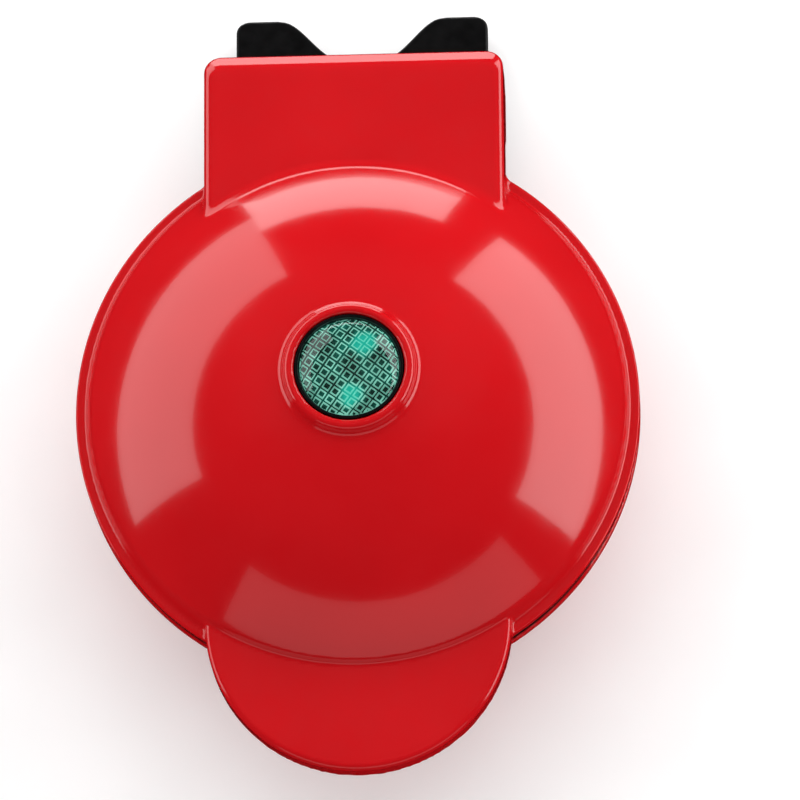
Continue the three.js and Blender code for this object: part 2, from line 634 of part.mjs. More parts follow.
function lidHalf() {
  const half = new THREE.Group();
  node(half, "lid_cover", redGloss, lidCover());
  node(half, "lid_frame", blackPlastic, lidFrame());
  plateParts(half, "upper");
  node(half, "thermostat", ceramic, thermostat());
  node(half, "lens_bezel", blackPlastic, lensBezel());
  node(half, "indicator_lens", greenLens, indicatorLens());
  node(half, "lamp_holder", whiteNylon, lampHolder());
  node(half, "power_lamp", lampGlass, lamp(), ...LAMPS.power);
  node(half, "ready_lamp", lampGlass, lamp(), ...LAMPS.ready);
  node(half, "hinge_lead_upper", sleeving, lead(UPPER_LEAD));
  const inRecess = RECESS.h - GAP;
  screws(half, "handle_screw", SCREW, HANDLE_SCREWS, inRecess, LENGTH.handle, true);
  screws(half, "arm_screw", SCREW, ARM_SCREWS, inRecess, LENGTH.arm, true);
  screws(half, "holder_screw", SCREW, HOLDER_SCREWS, HOLDER.h[0] - GAP, LENGTH.holder, true);
  half.position.z = PARTING_Z;
  return half;
}

function baseHalf() {
  const half = new THREE.Group();
  node(half, "base_cover", redGloss, baseCover());
  node(half, "base_frame", blackPlastic, baseFrame());
  plateParts(half, "lower");
  node(half, "thermal_fuse", whiteNylon, thermalFuse());
  node(half, "fuse_clip", steel, fuseClip());
  node(half, "terminal_block", ceramic, terminalBlock());
  node(half, "cord_gland", rubber, cordGland());
  node(half, "rear_stand", blackPlastic, rearStand());
  node(half, "hinge_lead_lower", sleeving, lead(LOWER_LEAD));
  [[1, -1], [-1, -1], [1, 1], [-1, 1]].forEach(([i, j], n) => {
    node(half, `foot_${n + 1}`, rubber, foot(), i * LEG.x, j * LEG.y);
  });
  screws(half, "base_screw", LONG_SCREW, BASE_SCREWS, BASE_SEAT_H + GAP, LENGTH.base);
  screws(half, "stand_screw", SCREW, STAND_SCREWS, STAND.h[1] + GAP, LENGTH.stand);
  const onClip = PLATE_BACK + CLIP.sheet + 2 * GAP;
  screws(half, "clip_screw", CLIP_SCREW, CLIP_SCREWS, onClip, LENGTH.clip);
  node(half, "hinge_pin_left", steel, hingePin(1));
  node(half, "hinge_pin_right", steel, hingePin(-1));
  half.rotation.y = Math.PI;
  half.position.z = PARTING_Z;
  return half;
}

const waffleMaker = new THREE.Group();
waffleMaker.add(lidHalf(), baseHalf());
waffleMaker.position.y = (HANDLE.reach - STAND.reach) / 2;

export default waffleMaker;
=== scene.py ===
"""Compact round waffle maker: red domed lid on a bowl-shaped base, two grid plates inside.

Shapes are drawn in millimetres in a half's own frame: the cooking axis is x = y = 0, the parting
plane is height 0, and the outside is up. The lid takes that frame as it is, and the base takes it
turned over about the Y axis.
"""
import json
import math

import bmesh
import bpy
import numpy as np
from mathutils import Matrix, Vector


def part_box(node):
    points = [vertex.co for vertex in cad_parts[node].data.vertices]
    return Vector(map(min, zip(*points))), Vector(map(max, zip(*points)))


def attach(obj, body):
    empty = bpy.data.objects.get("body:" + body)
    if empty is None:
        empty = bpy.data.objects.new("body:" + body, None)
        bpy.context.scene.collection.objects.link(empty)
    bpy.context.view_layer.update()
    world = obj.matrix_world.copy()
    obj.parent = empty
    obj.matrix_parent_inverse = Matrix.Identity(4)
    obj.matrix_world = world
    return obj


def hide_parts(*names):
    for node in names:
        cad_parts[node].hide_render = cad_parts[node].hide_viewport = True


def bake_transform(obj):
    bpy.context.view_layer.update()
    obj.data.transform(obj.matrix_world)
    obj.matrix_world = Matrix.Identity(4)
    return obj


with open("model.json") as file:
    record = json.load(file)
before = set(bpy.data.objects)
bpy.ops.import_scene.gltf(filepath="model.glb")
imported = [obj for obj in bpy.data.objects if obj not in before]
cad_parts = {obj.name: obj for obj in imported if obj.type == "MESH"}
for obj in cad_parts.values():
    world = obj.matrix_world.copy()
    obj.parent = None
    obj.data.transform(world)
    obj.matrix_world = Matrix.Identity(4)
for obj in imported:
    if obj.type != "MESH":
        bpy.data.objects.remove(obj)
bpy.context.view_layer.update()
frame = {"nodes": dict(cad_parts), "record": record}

# ---- places, from the frame ----
MM = 0.001


def extent(node, axis):
    """Lowest and highest value of a node's box along an axis, in millimetres."""
    low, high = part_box(node)
    return low[axis] / MM, high[axis] / MM


def middle(node, axis):
    return sum(extent(node, axis)) / 2


HINGE = frame["record"]["behaviour"]["joints"][0]["pos_m"]
PARTING_Z = HINGE[2] / MM
AXIS_Y = middle("upper_plate", 1)
PIN_Y = HINGE[1] / MM - AXIS_Y
GAP = 0.3
WALL = 1.8

# covers
RIM_R = extent("lid_cover", 0)[1]
RIM = (1.5, 4.0)
DOME_FOOT_R = RIM_R - 2.2
DOME_APEX = 35.0
SPHERE_R = 78.6
SPHERE_H = DOME_APEX - SPHERE_R
SKIRT_H = 26  # the collar and the lens hole go down to here
COLLAR = {"r": 14.6, "top": extent("lid_cover", 2)[1] - PARTING_Z, "crest_r": 13.0, "slope": 0.45}
LENS_HOLE_R = 12.25
TAB = {"half_x": 34.0, "reach": extent("lid_cover", 1)[1] - AXIS_Y, "top": 13.0, "corner": 4.0}
BEVEL = {"side": 1.6, "rear": 3.4, "angle": 33.0}  # round the top of the hinge cover
CHEEK = [(60, 4), (65, -4.6), (76, -4.6), (79, 4)]  # side of the hinge cover that hangs down
HANDLE = {"half_x": 34.2, "reach": AXIS_Y - extent("lid_cover", 1)[0], "top": 6.4}
GRIP = {"half_x": 30.0, "reach": AXIS_Y - extent("base_cover", 1)[0], "top": 5.2}
HANDLE_SCREWS = [(15, -70), (-15, -70)]
ARM_SCREWS = [(25, 60.5), (-25, 60.5)]
HOLDER_SCREWS = [(19, 0), (-19, 0)]
BOWL_H = 28.0
BOWL_ROUND = 24.0
INLET = {"half_x": 24.0, "reach": extent("base_cover", 1)[1] - AXIS_Y, "low": 15.0, "top": 24.5}
CORD_H = PARTING_Z - middle("cord_gland", 2)
CORD_HOLE_R = 4.0
LEG = {"r": 7.2, "draft": 0.035, "end": PARTING_Z - extent("base_cover", 2)[0]}
LEGS = [(34 * i, 30 * j) for i in (1, -1) for j in (1, -1)]
BASE_SCREWS = [(18.4, -18.4), (-18.4, 18.4)]

# frames and plates
FRAME_R = 57.0
RING_WALL_R = 58.2
EAR_X = (29.4, 31.9)
EAR_R = 5.0
NECK_HALF_X = 29.1
LUG_X = (15, NECK_HALF_X)
LUG_R = 5.2
NECK_H = 10
PIN_R = 2.0
PIN_BORE_R = 2.3
PLATE_R = 56.5
CAVITY_R = 50.8
FLOOR_H = 9.2
BACK_H = 11.8
STUD_TOP = 4.0
STUD_PITCH = 15.0
STUD_HALF = 4.8  # half a stud's width at the cavity's floor
STUD_FIELD_R = 44.6
BOSSES = [(18.4 * i, 18.4 * j) for i in (1, -1) for j in (1, -1)]

# stand, lens and lamps
STAND = {
    "half_x": extent("rear_stand", 0)[1], "front": extent("rear_stand", 1)[0] - AXIS_Y,
    "reach": extent("rear_stand", 1)[1] - AXIS_Y, "h": (24.8, 28.0),
    "foot": PARTING_Z - extent("rear_stand", 2)[0],
}
NOTCH = {"flat": 5.5, "end": 18.6, "depth": 9.3}
LENS = {
    "r": 11.0, "hollow_r": 9.6, "low": 30.2, "roof": 33.4, "backing": 34.2, "clear": 34.1,
    "edge": 35.3, "crown": extent("indicator_lens", 2)[1] - PARTING_Z,
}
LAMP_PLACES = [(middle(n, 0), middle(n, 1) - AXIS_Y) for n in ("power_lamp", "ready_lamp")]
# where their light leaves the lens: centres of the painted lamp glow
GLOW_PLACES = [(1.5 * x - 1.7, 1.5 * y) for x, y in LAMP_PLACES]


def to_lid(points):
    return (np.asarray(points) + (0, AXIS_Y, PARTING_Z)) * MM


def to_base(points):
    return (np.asarray(points) * (-1, 1, -1) + (0, AXIS_Y, PARTING_Z)) * MM


# ---- distance fields: negative inside a solid, in millimetres ----
def union(a, b, fillet=0.0):
    """Both solids, with a round fillet where they meet."""
    if fillet == 0:
        return np.minimum(a, b)
    corner = np.hypot(np.maximum(fillet - a, 0), np.maximum(fillet - b, 0))
    return np.maximum(fillet, np.minimum(a, b)) - corner


def common(a, b, edge=0.0):
    """What both solids share, with the edge between them rounded."""
    if edge == 0:
        return np.maximum(a, b)
    corner = np.hypot(np.maximum(edge + a, 0), np.maximum(edge + b, 0))
    return np.minimum(-edge, np.maximum(a, b)) + corner


def cut(a, b, edge=0.0):
    return common(a, -b, edge)


def slab(value, low, high):
    return np.maximum(low - value, value - high)


def layer(outline, h, low, high, edge=0.0):
    """A plan outline between two heights, with rounded edges."""
    return common(outline, slab(h, low, high), edge)


def rectangle(x, y, x0, x1, y0, y1, corner=0.0):
    qx = np.abs(x - (x0 + x1) / 2) - (x1 - x0) / 2 + corner
    qy = np.abs(y - (y0 + y1) / 2) - (y1 - y0) / 2 + corner
    outside = np.hypot(np.maximum(qx, 0), np.maximum(qy, 0))
    return outside + np.minimum(np.maximum(qx, qy), 0) - corner


def tongue(x, y, size, inset=0.0):
    """Straight sides and a half-round end towards -y."""
    centre_y = size["half_x"] - size["reach"]
    return np.maximum(np.hypot(x, np.minimum(y - centre_y, 0)) - size["half_x"] + inset, y)


def tab_outline(x, y, inset=0.0):
    half_x, reach = TAB["half_x"] - inset, TAB["reach"] - inset
    return rectangle(x, y, -half_x, half_x, 0, reach, TAB["corner"] - inset)


def polygon(a, b, points, corner=0.0):
    """Convex outline through points given anticlockwise, with rounded corners."""
    field = None
    for (a0, b0), (a1, b1) in zip(points, points[1:] + points[:1]):
        length = math.hypot(a1 - a0, b1 - b0)
        side = ((b1 - b0) * (a - a0) - (a1 - a0) * (b - b0)) / length
        field = side if field is None else common(field, side, corner)
    return field


def drum(x, y, h, r, low, high, edge=0.3):
    """Upright cylinder with rounded edges."""
    return common(np.hypot(x, y) - r, slab(h, low, high), edge)


def pillars(x, y, places, r):
    """Round posts at several places."""
    return np.minimum.reduce([np.hypot(x - px, y - py) - r for px, py in places])


# ---- the covers ----
def rim_field(r, h):
    return common(r - RIM_R, slab(h, *RIM), 0.5)


def rim_space(r, h):
    return common(r - (RIM_R - WALL), h - (RIM[1] - 1.2))


def sphere_field(r, h, inset):
    return np.hypot(r, h - SPHERE_H) - (SPHERE_R - inset)


def collar_field(r, h):
    """Raised ring round the lens, sloping in towards it."""
    top = h - COLLAR["top"] + COLLAR["slope"] * np.maximum(COLLAR["crest_r"] - r, 0)
    return np.maximum(common(r - COLLAR["r"], top, 1.35), SKIRT_H - h)


def tab_field(x, y, h):
    """Hinge cover behind the dome, with a bevel round its top."""
    outline = tab_outline(x, y)
    slope = math.radians(BEVEL["angle"])
    flat = common(np.abs(x) - TAB["half_x"] + BEVEL["side"], y - TAB["reach"] + BEVEL["rear"], 2.4)
    bevel = flat * math.sin(slope) + (h - TAB["top"]) * math.cos(slope)
    tab = common(common(h - TAB["top"], bevel, 0.5), outline, 0.7)
    return common(tab, RIM[0] - h)


def lid_cover_field(x, y, h):
    r = np.hypot(x, y)
    dome = common(sphere_field(r, h, 0), r - DOME_FOOT_R, 2.2)
    dome = np.maximum(dome, RIM[0] - h)
    body = union(union(dome, rim_field(r, h), 0.9), collar_field(r, h), 1.7)
    handle = common(common(tongue(x, y, HANDLE), h - HANDLE["top"], 1.4), 0.6 - h)
    body = union(union(body, tab_field(x, y, h), 1.2), handle, 0.7)
    inside = union(
        common(sphere_field(r, h, WALL), r - (DOME_FOOT_R - WALL), 2.0), rim_space(r, h),
    )
    tab_space = np.maximum(tab_outline(x, y, WALL), h - TAB["top"] + WALL)
    handle_space = np.maximum(tongue(x, y, HANDLE, WALL), h - HANDLE["top"] + WALL)
    body = cut(body, union(union(inside, tab_space), handle_space), 0.35)
    body = cut(body, np.maximum(r - RIM_R, h - RIM[0]), 0.2)
    body = cut(body, np.maximum(r - LENS_HOLE_R, SKIRT_H - h), 0.4)
    cheek = polygon(y, h, CHEEK, 1.5)
    cheeks = common(cheek, slab(np.abs(x), TAB["half_x"] - WALL, TAB["half_x"]), 0.35)
    posts = np.minimum.reduce([
        layer(pillars(x, y, HANDLE_SCREWS, 3), h, 3.5, 5.4),
        layer(pillars(x, y, ARM_SCREWS, 3), h, 3.9, 12.2),
        layer(pillars(x, y, HOLDER_SCREWS, 3), h, 29.8, 31.2),
    ])
    return union(union(body, cheeks), posts)


def base_cover_field(x, y, h):
    r = np.hypot(x, y)
    bowl = np.maximum(common(r - DOME_FOOT_R, h - BOWL_H, BOWL_ROUND), RIM[0] - h)
    body = union(bowl, rim_field(r, h), 0.9)
    half_x, reach = INLET["half_x"], INLET["reach"]
    block = rectangle(x, y, -half_x, half_x, 30, reach, 3)
    body = union(body, layer(block, h, INLET["low"], INLET["top"], 1.6), 1.5)
    grip = common(common(tongue(x, y, GRIP), h - GRIP["top"], 1.4), 0.6 - h)
    body = union(body, grip, 0.7)
    leg = pillars(x, y, LEGS, LEG["r"]) + LEG["draft"] * (h - 20)
    body = union(body, np.maximum(common(leg, h - LEG["end"], 0.9), 15 - h), 3.0)
    inside = union(
        common(r - (DOME_FOOT_R - WALL), h - (BOWL_H - WALL), BOWL_ROUND - WALL), rim_space(r, h),
    )
    block_space = rectangle(x, y, WALL - half_x, half_x - WALL, 30, reach - WALL, 1.2)
    block_space = layer(block_space, h, INLET["low"] + WALL, INLET["top"] - WALL)
    grip_space = np.maximum(tongue(x, y, GRIP, WALL), h - GRIP["top"] + WALL)
    body = cut(body, union(union(inside, block_space), grip_space), 0.35)
    body = cut(body, np.maximum(r - RIM_R, h - RIM[0]), 0.2)
    neck = np.maximum(np.abs(x) - NECK_HALF_X - GAP, np.maximum(45 - y, h - 10.3))
    body = cut(body, neck, 0.3)
    body = union(body, layer(pillars(x, y, BASE_SCREWS, 5), h, 19.8, BOWL_H - 0.5), 0.8)
    body = cut(body, np.maximum(pillars(x, y, BASE_SCREWS, 3.4), 25.3 - h), 0.4)
    body = cut(body, np.maximum(pillars(x, y, LEGS, 2.7), 28 - h), 0.2)
    cord_hole = np.maximum(np.hypot(x, h - CORD_H) - CORD_HOLE_R, 70 - y)
    return cut(body, cord_hole, 0.3)


# ---- the frames ----
def ring_field(x, y, h, size):
    """Ring that carries a plate, with the flat face of the handle."""
    r = np.hypot(x, y)
    flange = layer(slab(r, FRAME_R, RIM_R - GAP), h, GAP, 1.2, 0.25)
    wall = layer(slab(r, FRAME_R, RING_WALL_R), h, GAP, 4.0, 0.25)
    shelf = layer(slab(r, 52.9, RING_WALL_R), h, 2.8, 4.0, 0.25)
    tray = layer(tongue(x, y, size, WALL + GAP), h, GAP, 2.3, 0.3)
    pocket = np.maximum(tongue(x, y, size, WALL + 2), np.maximum(65 - r, 1.5 - h))
    tray = np.maximum(cut(tray, pocket, 0.2), FRAME_R - r)
    return union(union(union(flange, wall, 0.3), shelf, 0.3), tray, 0.3)


def pin_field(y, h, r):
    return np.hypot(y - PIN_Y, h) - r


def lid_frame_field(x, y, h):
    r = np.hypot(x, y)
    arms = layer(rectangle(np.abs(x), y, 22, EAR_X[1], 44, 64.4, 1), h, GAP, 3.6, 0.3)
    web = [(56, GAP), (PIN_Y, -2), (PIN_Y, 6.4), (56, 7)]
    ear = union(pin_field(y, h, EAR_R), polygon(y, h, web, 0.3), 2.0)
    ears = common(ear, slab(np.abs(x), *EAR_X), 0.3)
    body = union(
        union(ring_field(x, y, h, HANDLE), np.maximum(union(arms, ears, 0.8), FRAME_R - r), 0.4),
        layer(pillars(x, y, HANDLE_SCREWS, 4), h, GAP, 3.2, 0.2), 0.4,
    )
    recesses = np.maximum(pillars(x, y, HANDLE_SCREWS + ARM_SCREWS, 2.6), h - 2)
    body = cut(body, recesses, 0.2)
    return cut(body, np.maximum(pin_field(y, h, PIN_BORE_R), 29 - np.abs(x)), 0.2)


def base_frame_field(x, y, h):
    r = np.hypot(x, y)
    neck = layer(rectangle(x, y, -NECK_HALF_X, NECK_HALF_X, 44, 65, 1), h, GAP, NECK_H, 0.4)
    foot = layer(rectangle(np.abs(x), y, *LUG_X, 58, 69.5, 0.6), h, GAP, NECK_H, 0.4)
    barrel = common(pin_field(y, h, LUG_R), slab(np.abs(x), *LUG_X), 0.4)
    lugs = union(foot, barrel, 0.8)
    body = union(ring_field(x, y, h, GRIP), np.maximum(union(neck, lugs, 1.0), FRAME_R - r), 0.4)
    tunnel = np.maximum(rectangle(x, h, -2.6, 2.6, 4.6, 9.2, 1.2), 50 - y)
    body = cut(body, tunnel, 0.3)
    return cut(body, np.maximum(pin_field(y, h, PIN_BORE_R), 17.7 - np.abs(x)), 0.2)


# ---- cooking plate ----
def plate_field(x, y, h):
    """Cast dish with a square grid of studs, cut off round near its wall."""
    r = np.hypot(x, y)
    rim = layer(r - PLATE_R, h, GAP, 2.5, 0.35)
    dish = np.maximum((r - 52.7 + 0.28 * (h - 2.5)) * 0.963, GAP - h)
    dish = common(common(dish, h - BACK_H, 1.0), (r + h - 58.3) * 0.7071, 1.0)
    body = union(rim, dish, 0.8)
    wall = (r - CAVITY_R + 0.33 * (h - GAP)) * 0.95
    cavity = common(wall, h - FLOOR_H, 2.2)
    body = cut(body, cavity, 0.7)
    u = x - STUD_PITCH * np.round(x / STUD_PITCH)
    v = y - STUD_PITCH * np.round(y / STUD_PITCH)
    half = STUD_HALF - 0.21 * (FLOOR_H - h)
    stud = rectangle(u, v, -half, half, -half, half, 1.3) * 0.97
    stud = common(stud, r - STUD_FIELD_R + 0.25 * (FLOOR_H - h), 1.0)
    stud = np.maximum(common(stud, STUD_TOP - h, 0.9), h - FLOOR_H - 1.5)
    body = union(body, stud, 1.3)
    return union(body, layer(pillars(x, y, BOSSES, 4), h, 11, 18.6, 0.4), 1.0)


# ---- small parts ----
def thermostat_field(x, y, h):
    low = BACK_H + GAP
    body = union(drum(x, y, h, 9.6, low, 18.6, 0.5), drum(x, y, h, 7.6, low, 22, 0.6), 0.4)
    ring = common(np.hypot(np.hypot(x, y) - 8.6, h - 18.6) - 0.35, h - 19, 0.1)
    tabs = layer(rectangle(np.abs(x), y, 3.4, 4.2, -2.4, 2.4, 0.2), h, 21, 23.6, 0.3)
    return union(union(body, ring, 0.2), cut(tabs, np.hypot(y, h - 22.8) - 0.45), 0.3)


def holder_field(x, y, h):
    """Bar across the collar's inside with a socket for each lamp."""
    plate = union(np.hypot(x, y) - 12.4, rectangle(x, y, -21.8, 21.8, -4, 4, 1.2), 1.5)
    body = layer(plate, h, 28, 29.4, 0.4)
    body = union(body, layer(pillars(x, y, LAMP_PLACES, 3.6), h, 25.2, 29, 0.4), 0.8)
    body = cut(body, pillars(x, y, LAMP_PLACES, 2.4), 0.3)
    return cut(body, pillars(x, y, HOLDER_SCREWS, 1.6), 0.2)


def terminal_field(x, y, h):
    block = layer(rectangle(x, y, -10, 10, 61, 70, 0.6), h, 17.4, 22.4, 0.6)
    lane = x - 6 * np.clip(np.round(x / 6), -1, 1)
    block = cut(block, np.hypot(lane, h - 19.9) - 1.4, 0.3)
    groove = np.hypot(np.abs(x) - 3, h - 17.4) - 0.7
    screw_well = np.maximum(np.hypot(lane, np.abs(y - 65.5) - 2.4) - 1.2, h - 19)
    return cut(cut(block, groove, 0.3), screw_well, 0.2)


def fuse_field(x, y, h):
    across = np.hypot(y, h - 14.6)
    body = common(across - 2, np.abs(x) - 6, 0.7)
    beads = common(across - 1.3, np.abs(np.abs(x) - 6.2) - 0.7, 0.4)
    leads = common(across - 0.6, np.abs(x) - 14, 0.3)
    return union(union(body, beads, 0.3), leads, 0.4)


def clip_field(x, y, h):
    """Bent sheet over the fuse, with a foot on each side."""
    low, sheet = BACK_H + GAP, 0.8
    feet = layer(rectangle(np.abs(y), x, 3, 9, -3, 3, 1.2), h, low, low + sheet, 0.25)
    feet = cut(feet, np.hypot(np.abs(y) - 6.8, x) - 1.1, 0.1)
    arch = rectangle(y, h, -3.2, 3.2, 8, 17.7, 1.6)
    arch = np.maximum(np.maximum(arch, -(arch + sheet)), np.maximum(low - h, np.abs(x) - 3))
    return union(feet, arch, 0.6)


def pin_piece_field(x, y, h):
    """Both hinge pins, each with a chamfer at its ends."""
    return common(pin_field(y, h, PIN_R), slab(np.abs(x), 18.0, EAR_X[1]), 0.4)


def screw_field(head, shank, length):
    """Pan head with a cross recess above height 0, threaded shank below."""
    def field(x, y, h):
        r = np.hypot(x, y)
        dome = np.hypot(r, h - head[1] + 2.2 * head[0]) - 2.2 * head[0]
        top = np.maximum(common(r - head[0], dome, 0.35), -h)
        turn = np.arctan2(y, x) / (2 * math.pi)
        thread = 0.12 * np.cos(2 * math.pi * (h / 0.9 - turn))
        body = np.maximum((r - shank + 0.12 + thread) * 0.8, slab(h, -length, 0.2))
        across = np.minimum(np.maximum(np.abs(x) - 0.32, np.abs(y) - 1.2),
                            np.maximum(np.abs(y) - 0.32, np.abs(x) - 1.2))
        recess = np.maximum(across, head[1] * 0.35 - h)
        return union(cut(top, recess, 0.08), body)
    return field


# ---- rear stand ----
def stand_field(x, y, h):
    across = np.abs(x)
    run = NOTCH["end"] - NOTCH["flat"]
    step = np.clip((NOTCH["end"] - across) / run, 0, 1)
    edge_y = STAND["reach"] - NOTCH["depth"] * step * step * (3 - 2 * step)
    slope = NOTCH["depth"] * 6 * step * (1 - step) / run
    far = (y - edge_y) / np.sqrt(1 + slope * slope)
    outline = common(across - STAND["half_x"], far, 2.6)
    chamfer = (across - y + STAND["front"] + 7 - STAND["half_x"]) * 0.7071
    outline = common(common(outline, STAND["front"] - y, 1.0), chamfer, 2.0)
    plate = layer(outline, h, *STAND["h"], 0.7)
    leg = rectangle(across, y, 19.2, STAND["half_x"] - 2.6, STAND["reach"] - 3, STAND["reach"], 0.7)
    legs = layer(leg, h, 26, STAND["foot"], 0.6)
    rib = rectangle(across, y, 21.6, 23.4, 62, STAND["reach"] - 1.5, 0.6)
    ribs = layer(rib, h, 27, 30.4, 0.5)
    return union(union(plate, legs, 1.6), ribs, 0.8)


# ---- meshes ----
def gradient(field, points, step=0.02):
    result = np.empty_like(points)
    for axis in range(3):
        offset = np.zeros(3)
        offset[axis] = step
        ahead, behind = (points + offset).T, (points - offset).T
        result[:, axis] = (field(*ahead) - field(*behind)) / (2 * step)
    return result


def unit(vectors):
    return vectors / np.maximum(np.linalg.norm(vectors, axis=1), 1e-9)[:, None]


def mixed_cells(inside):
    """Which cells of the grid the surface passes through."""
    nx, ny, nz = (n - 1 for n in inside.shape)
    corners = [inside[i:i + nx, j:j + ny, k:k + nz] for i in (0, 1) for j in (0, 1) for k in (0, 1)]
    count = np.sum(corners, axis=0, dtype=np.int8)
    return (count > 0) & (count < 8)


def corner_points(field, value, cells, origin, cell):
    """One point per cell, on the planes of the surface where it crosses the cell's edges."""
    total, hits = np.zeros((len(cells), 3)), np.zeros(len(cells))
    planes, offsets = np.zeros((len(cells), 3, 3)), np.zeros((len(cells), 3))
    steps = np.eye(3, dtype=int)
    for axis in range(3):
        u, v = steps[(axis + 1) % 3], steps[(axis + 2) % 3]
        for corner in (0 * u, u, v, u + v):
            start = cells + corner
            a, b = value[tuple(start.T)], value[tuple((start + steps[axis]).T)]
            hit = np.flatnonzero((a < 0) != (b < 0))
            along = (a[hit] / (a[hit] - b[hit]))[:, None] * steps[axis]
            point = origin + cell * (start[hit] + along)
            normal = unit(gradient(field, point))
            total[hit] += point
            hits[hit] += 1
            planes[hit] += normal[:, :, None] * normal[:, None, :]
            offsets[hit] += normal * (normal * point).sum(axis=1)[:, None]
    mean = total / hits[:, None]
    pull = 0.08 * hits
    matrix = planes + pull[:, None, None] * np.eye(3)
    right = offsets + pull[:, None] * mean
    move = np.linalg.solve(matrix, right[:, :, None])[:, :, 0] - mean
    length = np.linalg.norm(move, axis=1)
    return mean + move * np.minimum(1, 0.8 * cell / np.maximum(length, 1e-9))[:, None]


def contoured(field, low, high, cell):
    """Dual contouring: one point in each cell on the surface, one quad round each crossed edge."""
    axes = [np.arange(a - 2.3 * cell, b + 3 * cell, cell) for a, b in zip(low, high)]
    value = field(*np.meshgrid(*axes, indexing="ij"))
    inside = value < 0
    mixed = mixed_cells(inside)
    cells = np.argwhere(mixed)
    number = np.full(mixed.shape, -1)
    number[mixed] = np.arange(len(cells))
    points = corner_points(field, value, cells, np.array([axis[0] for axis in axes]), cell)
    quads = []
    for axis in range(3):
        steps = np.eye(3, dtype=int)
        u, v = steps[(axis + 1) % 3], steps[(axis + 2) % 3]
        size = inside.shape[axis]
        first = np.take(inside, range(size - 1), axis)
        second = np.take(inside, range(1, size), axis)
        edges = np.argwhere(first != second)
        ring = [edges - u - v, edges - v, edges, edges - u]
        quad = np.stack([number[tuple(corner.T)] for corner in ring], axis=1)
        outward = first[tuple(edges.T)]
        quads.append(np.where(outward[:, None], quad, quad[:, ::-1]))
    return points, np.concatenate(quads)


def settle(field, points, limit):
    """Moves points onto the surface along its slope, by at most limit."""
    slope = gradient(field, points)
    size = np.maximum((slope ** 2).sum(axis=1), 0.05)
    move = slope * (field(*points.T) / size)[:, None]
    length = np.linalg.norm(move, axis=1)
    return points - move * np.minimum(1, limit / np.maximum(length, 1e-9))[:, None]


def scene_object(name, data):
    made = bpy.data.objects.new(name, data)
    bpy.context.scene.collection.objects.link(made)
    return made


def make_mesh(name, points, faces, normals=None):
    mesh = bpy.data.meshes.new(name)
    mesh.from_pydata(np.asarray(points).tolist(), [], faces)
    mesh.polygons.foreach_set("use_smooth", [True] * len(mesh.polygons))
    if normals is not None:
        mesh.normals_split_custom_set_from_vertices(normals.tolist())
    mesh.update()
    return scene_object(name, mesh)


def solid_shape(field, low, high, cell):
    """Points, faces and normals of a distance field."""
    points, quads = contoured(field, low, high, cell)
    for _ in range(4):
        points = settle(field, points, 0.3 * cell)
    return points, quads.tolist(), unit(gradient(field, points))


def placed_piece(name, shape, place):
    points, faces, normals = shape
    placed = place(points)
    return make_mesh(name, placed, faces, unit(place(points + normals) - placed))


def solid_piece(name, field, low, high, cell, place):
    """A mesh of a distance field, placed by to_lid or to_base."""
    return placed_piece(name, solid_shape(field, low, high, cell), place)


def rounded(outline, radius, steps=4):
    """An outline with its inner corners replaced by arcs, smaller where the sides are short."""
    points = [np.array(p, float) for p in outline]
    result = [points[0]]
    for before, corner, after in zip(points, points[1:], points[2:]):
        reach_in = min(radius, 0.45 * np.linalg.norm(before - corner))
        reach_out = min(radius, 0.45 * np.linalg.norm(after - corner))
        reach = min(reach_in, reach_out)
        start = corner + reach * (before - corner) / np.linalg.norm(before - corner)
        end = corner + reach * (after - corner) / np.linalg.norm(after - corner)
        for i in range(steps + 1):
            t = i / steps
            result.append((1 - t) ** 2 * start + 2 * t * (1 - t) * corner + t * t * end)
    return result + [points[-1]]


def lathe(outline, sides, radius):
    """Points and faces turned about the vertical axis from [radius, height] points, which run
    from axis to axis or, away from the axis, round a ring."""
    ring = outline[0][0] > 0
    if ring:
        profile = rounded([outline[-1], *outline, outline[0]], radius)[1:-1]
    else:
        profile = rounded(outline, radius)
    angles = 2 * np.pi * np.arange(sides) / sides
    across, along = np.cos(angles), np.sin(angles)
    points = np.concatenate([
        np.stack([r * across, r * along, np.full(sides, h)], axis=1) for r, h in profile
    ])
    faces = []
    count = len(profile)
    for row in range(count if ring else count - 1):
        above = (row + 1) % count
        for i in range(sides):
            j = (i + 1) % sides
            faces.append((row * sides + i, row * sides + j, above * sides + j, above * sides + i))
    return points, faces


def tidied(piece):
    """Merges the points that meet on the axis and turns the faces outward."""
    shape = bmesh.new()
    shape.from_mesh(piece.data)
    bmesh.ops.remove_doubles(shape, verts=shape.verts, dist=1e-6)
    bmesh.ops.dissolve_degenerate(shape, edges=shape.edges, dist=1e-7)
    bmesh.ops.recalc_face_normals(shape, faces=shape.faces)
    shape.to_mesh(piece.data)
    shape.free()
    return piece


def turned_piece(name, outline, place, sides=64, radius=0.3, offset=(0, 0, 0), lying=False):
    """A lathed piece with rounded edges, upright or lying along Y."""
    points, faces = lathe(outline, sides, radius)
    if lying:
        points = points[:, [0, 2, 1]]
    return tidied(make_mesh(name, place(points + np.array(offset)), faces))


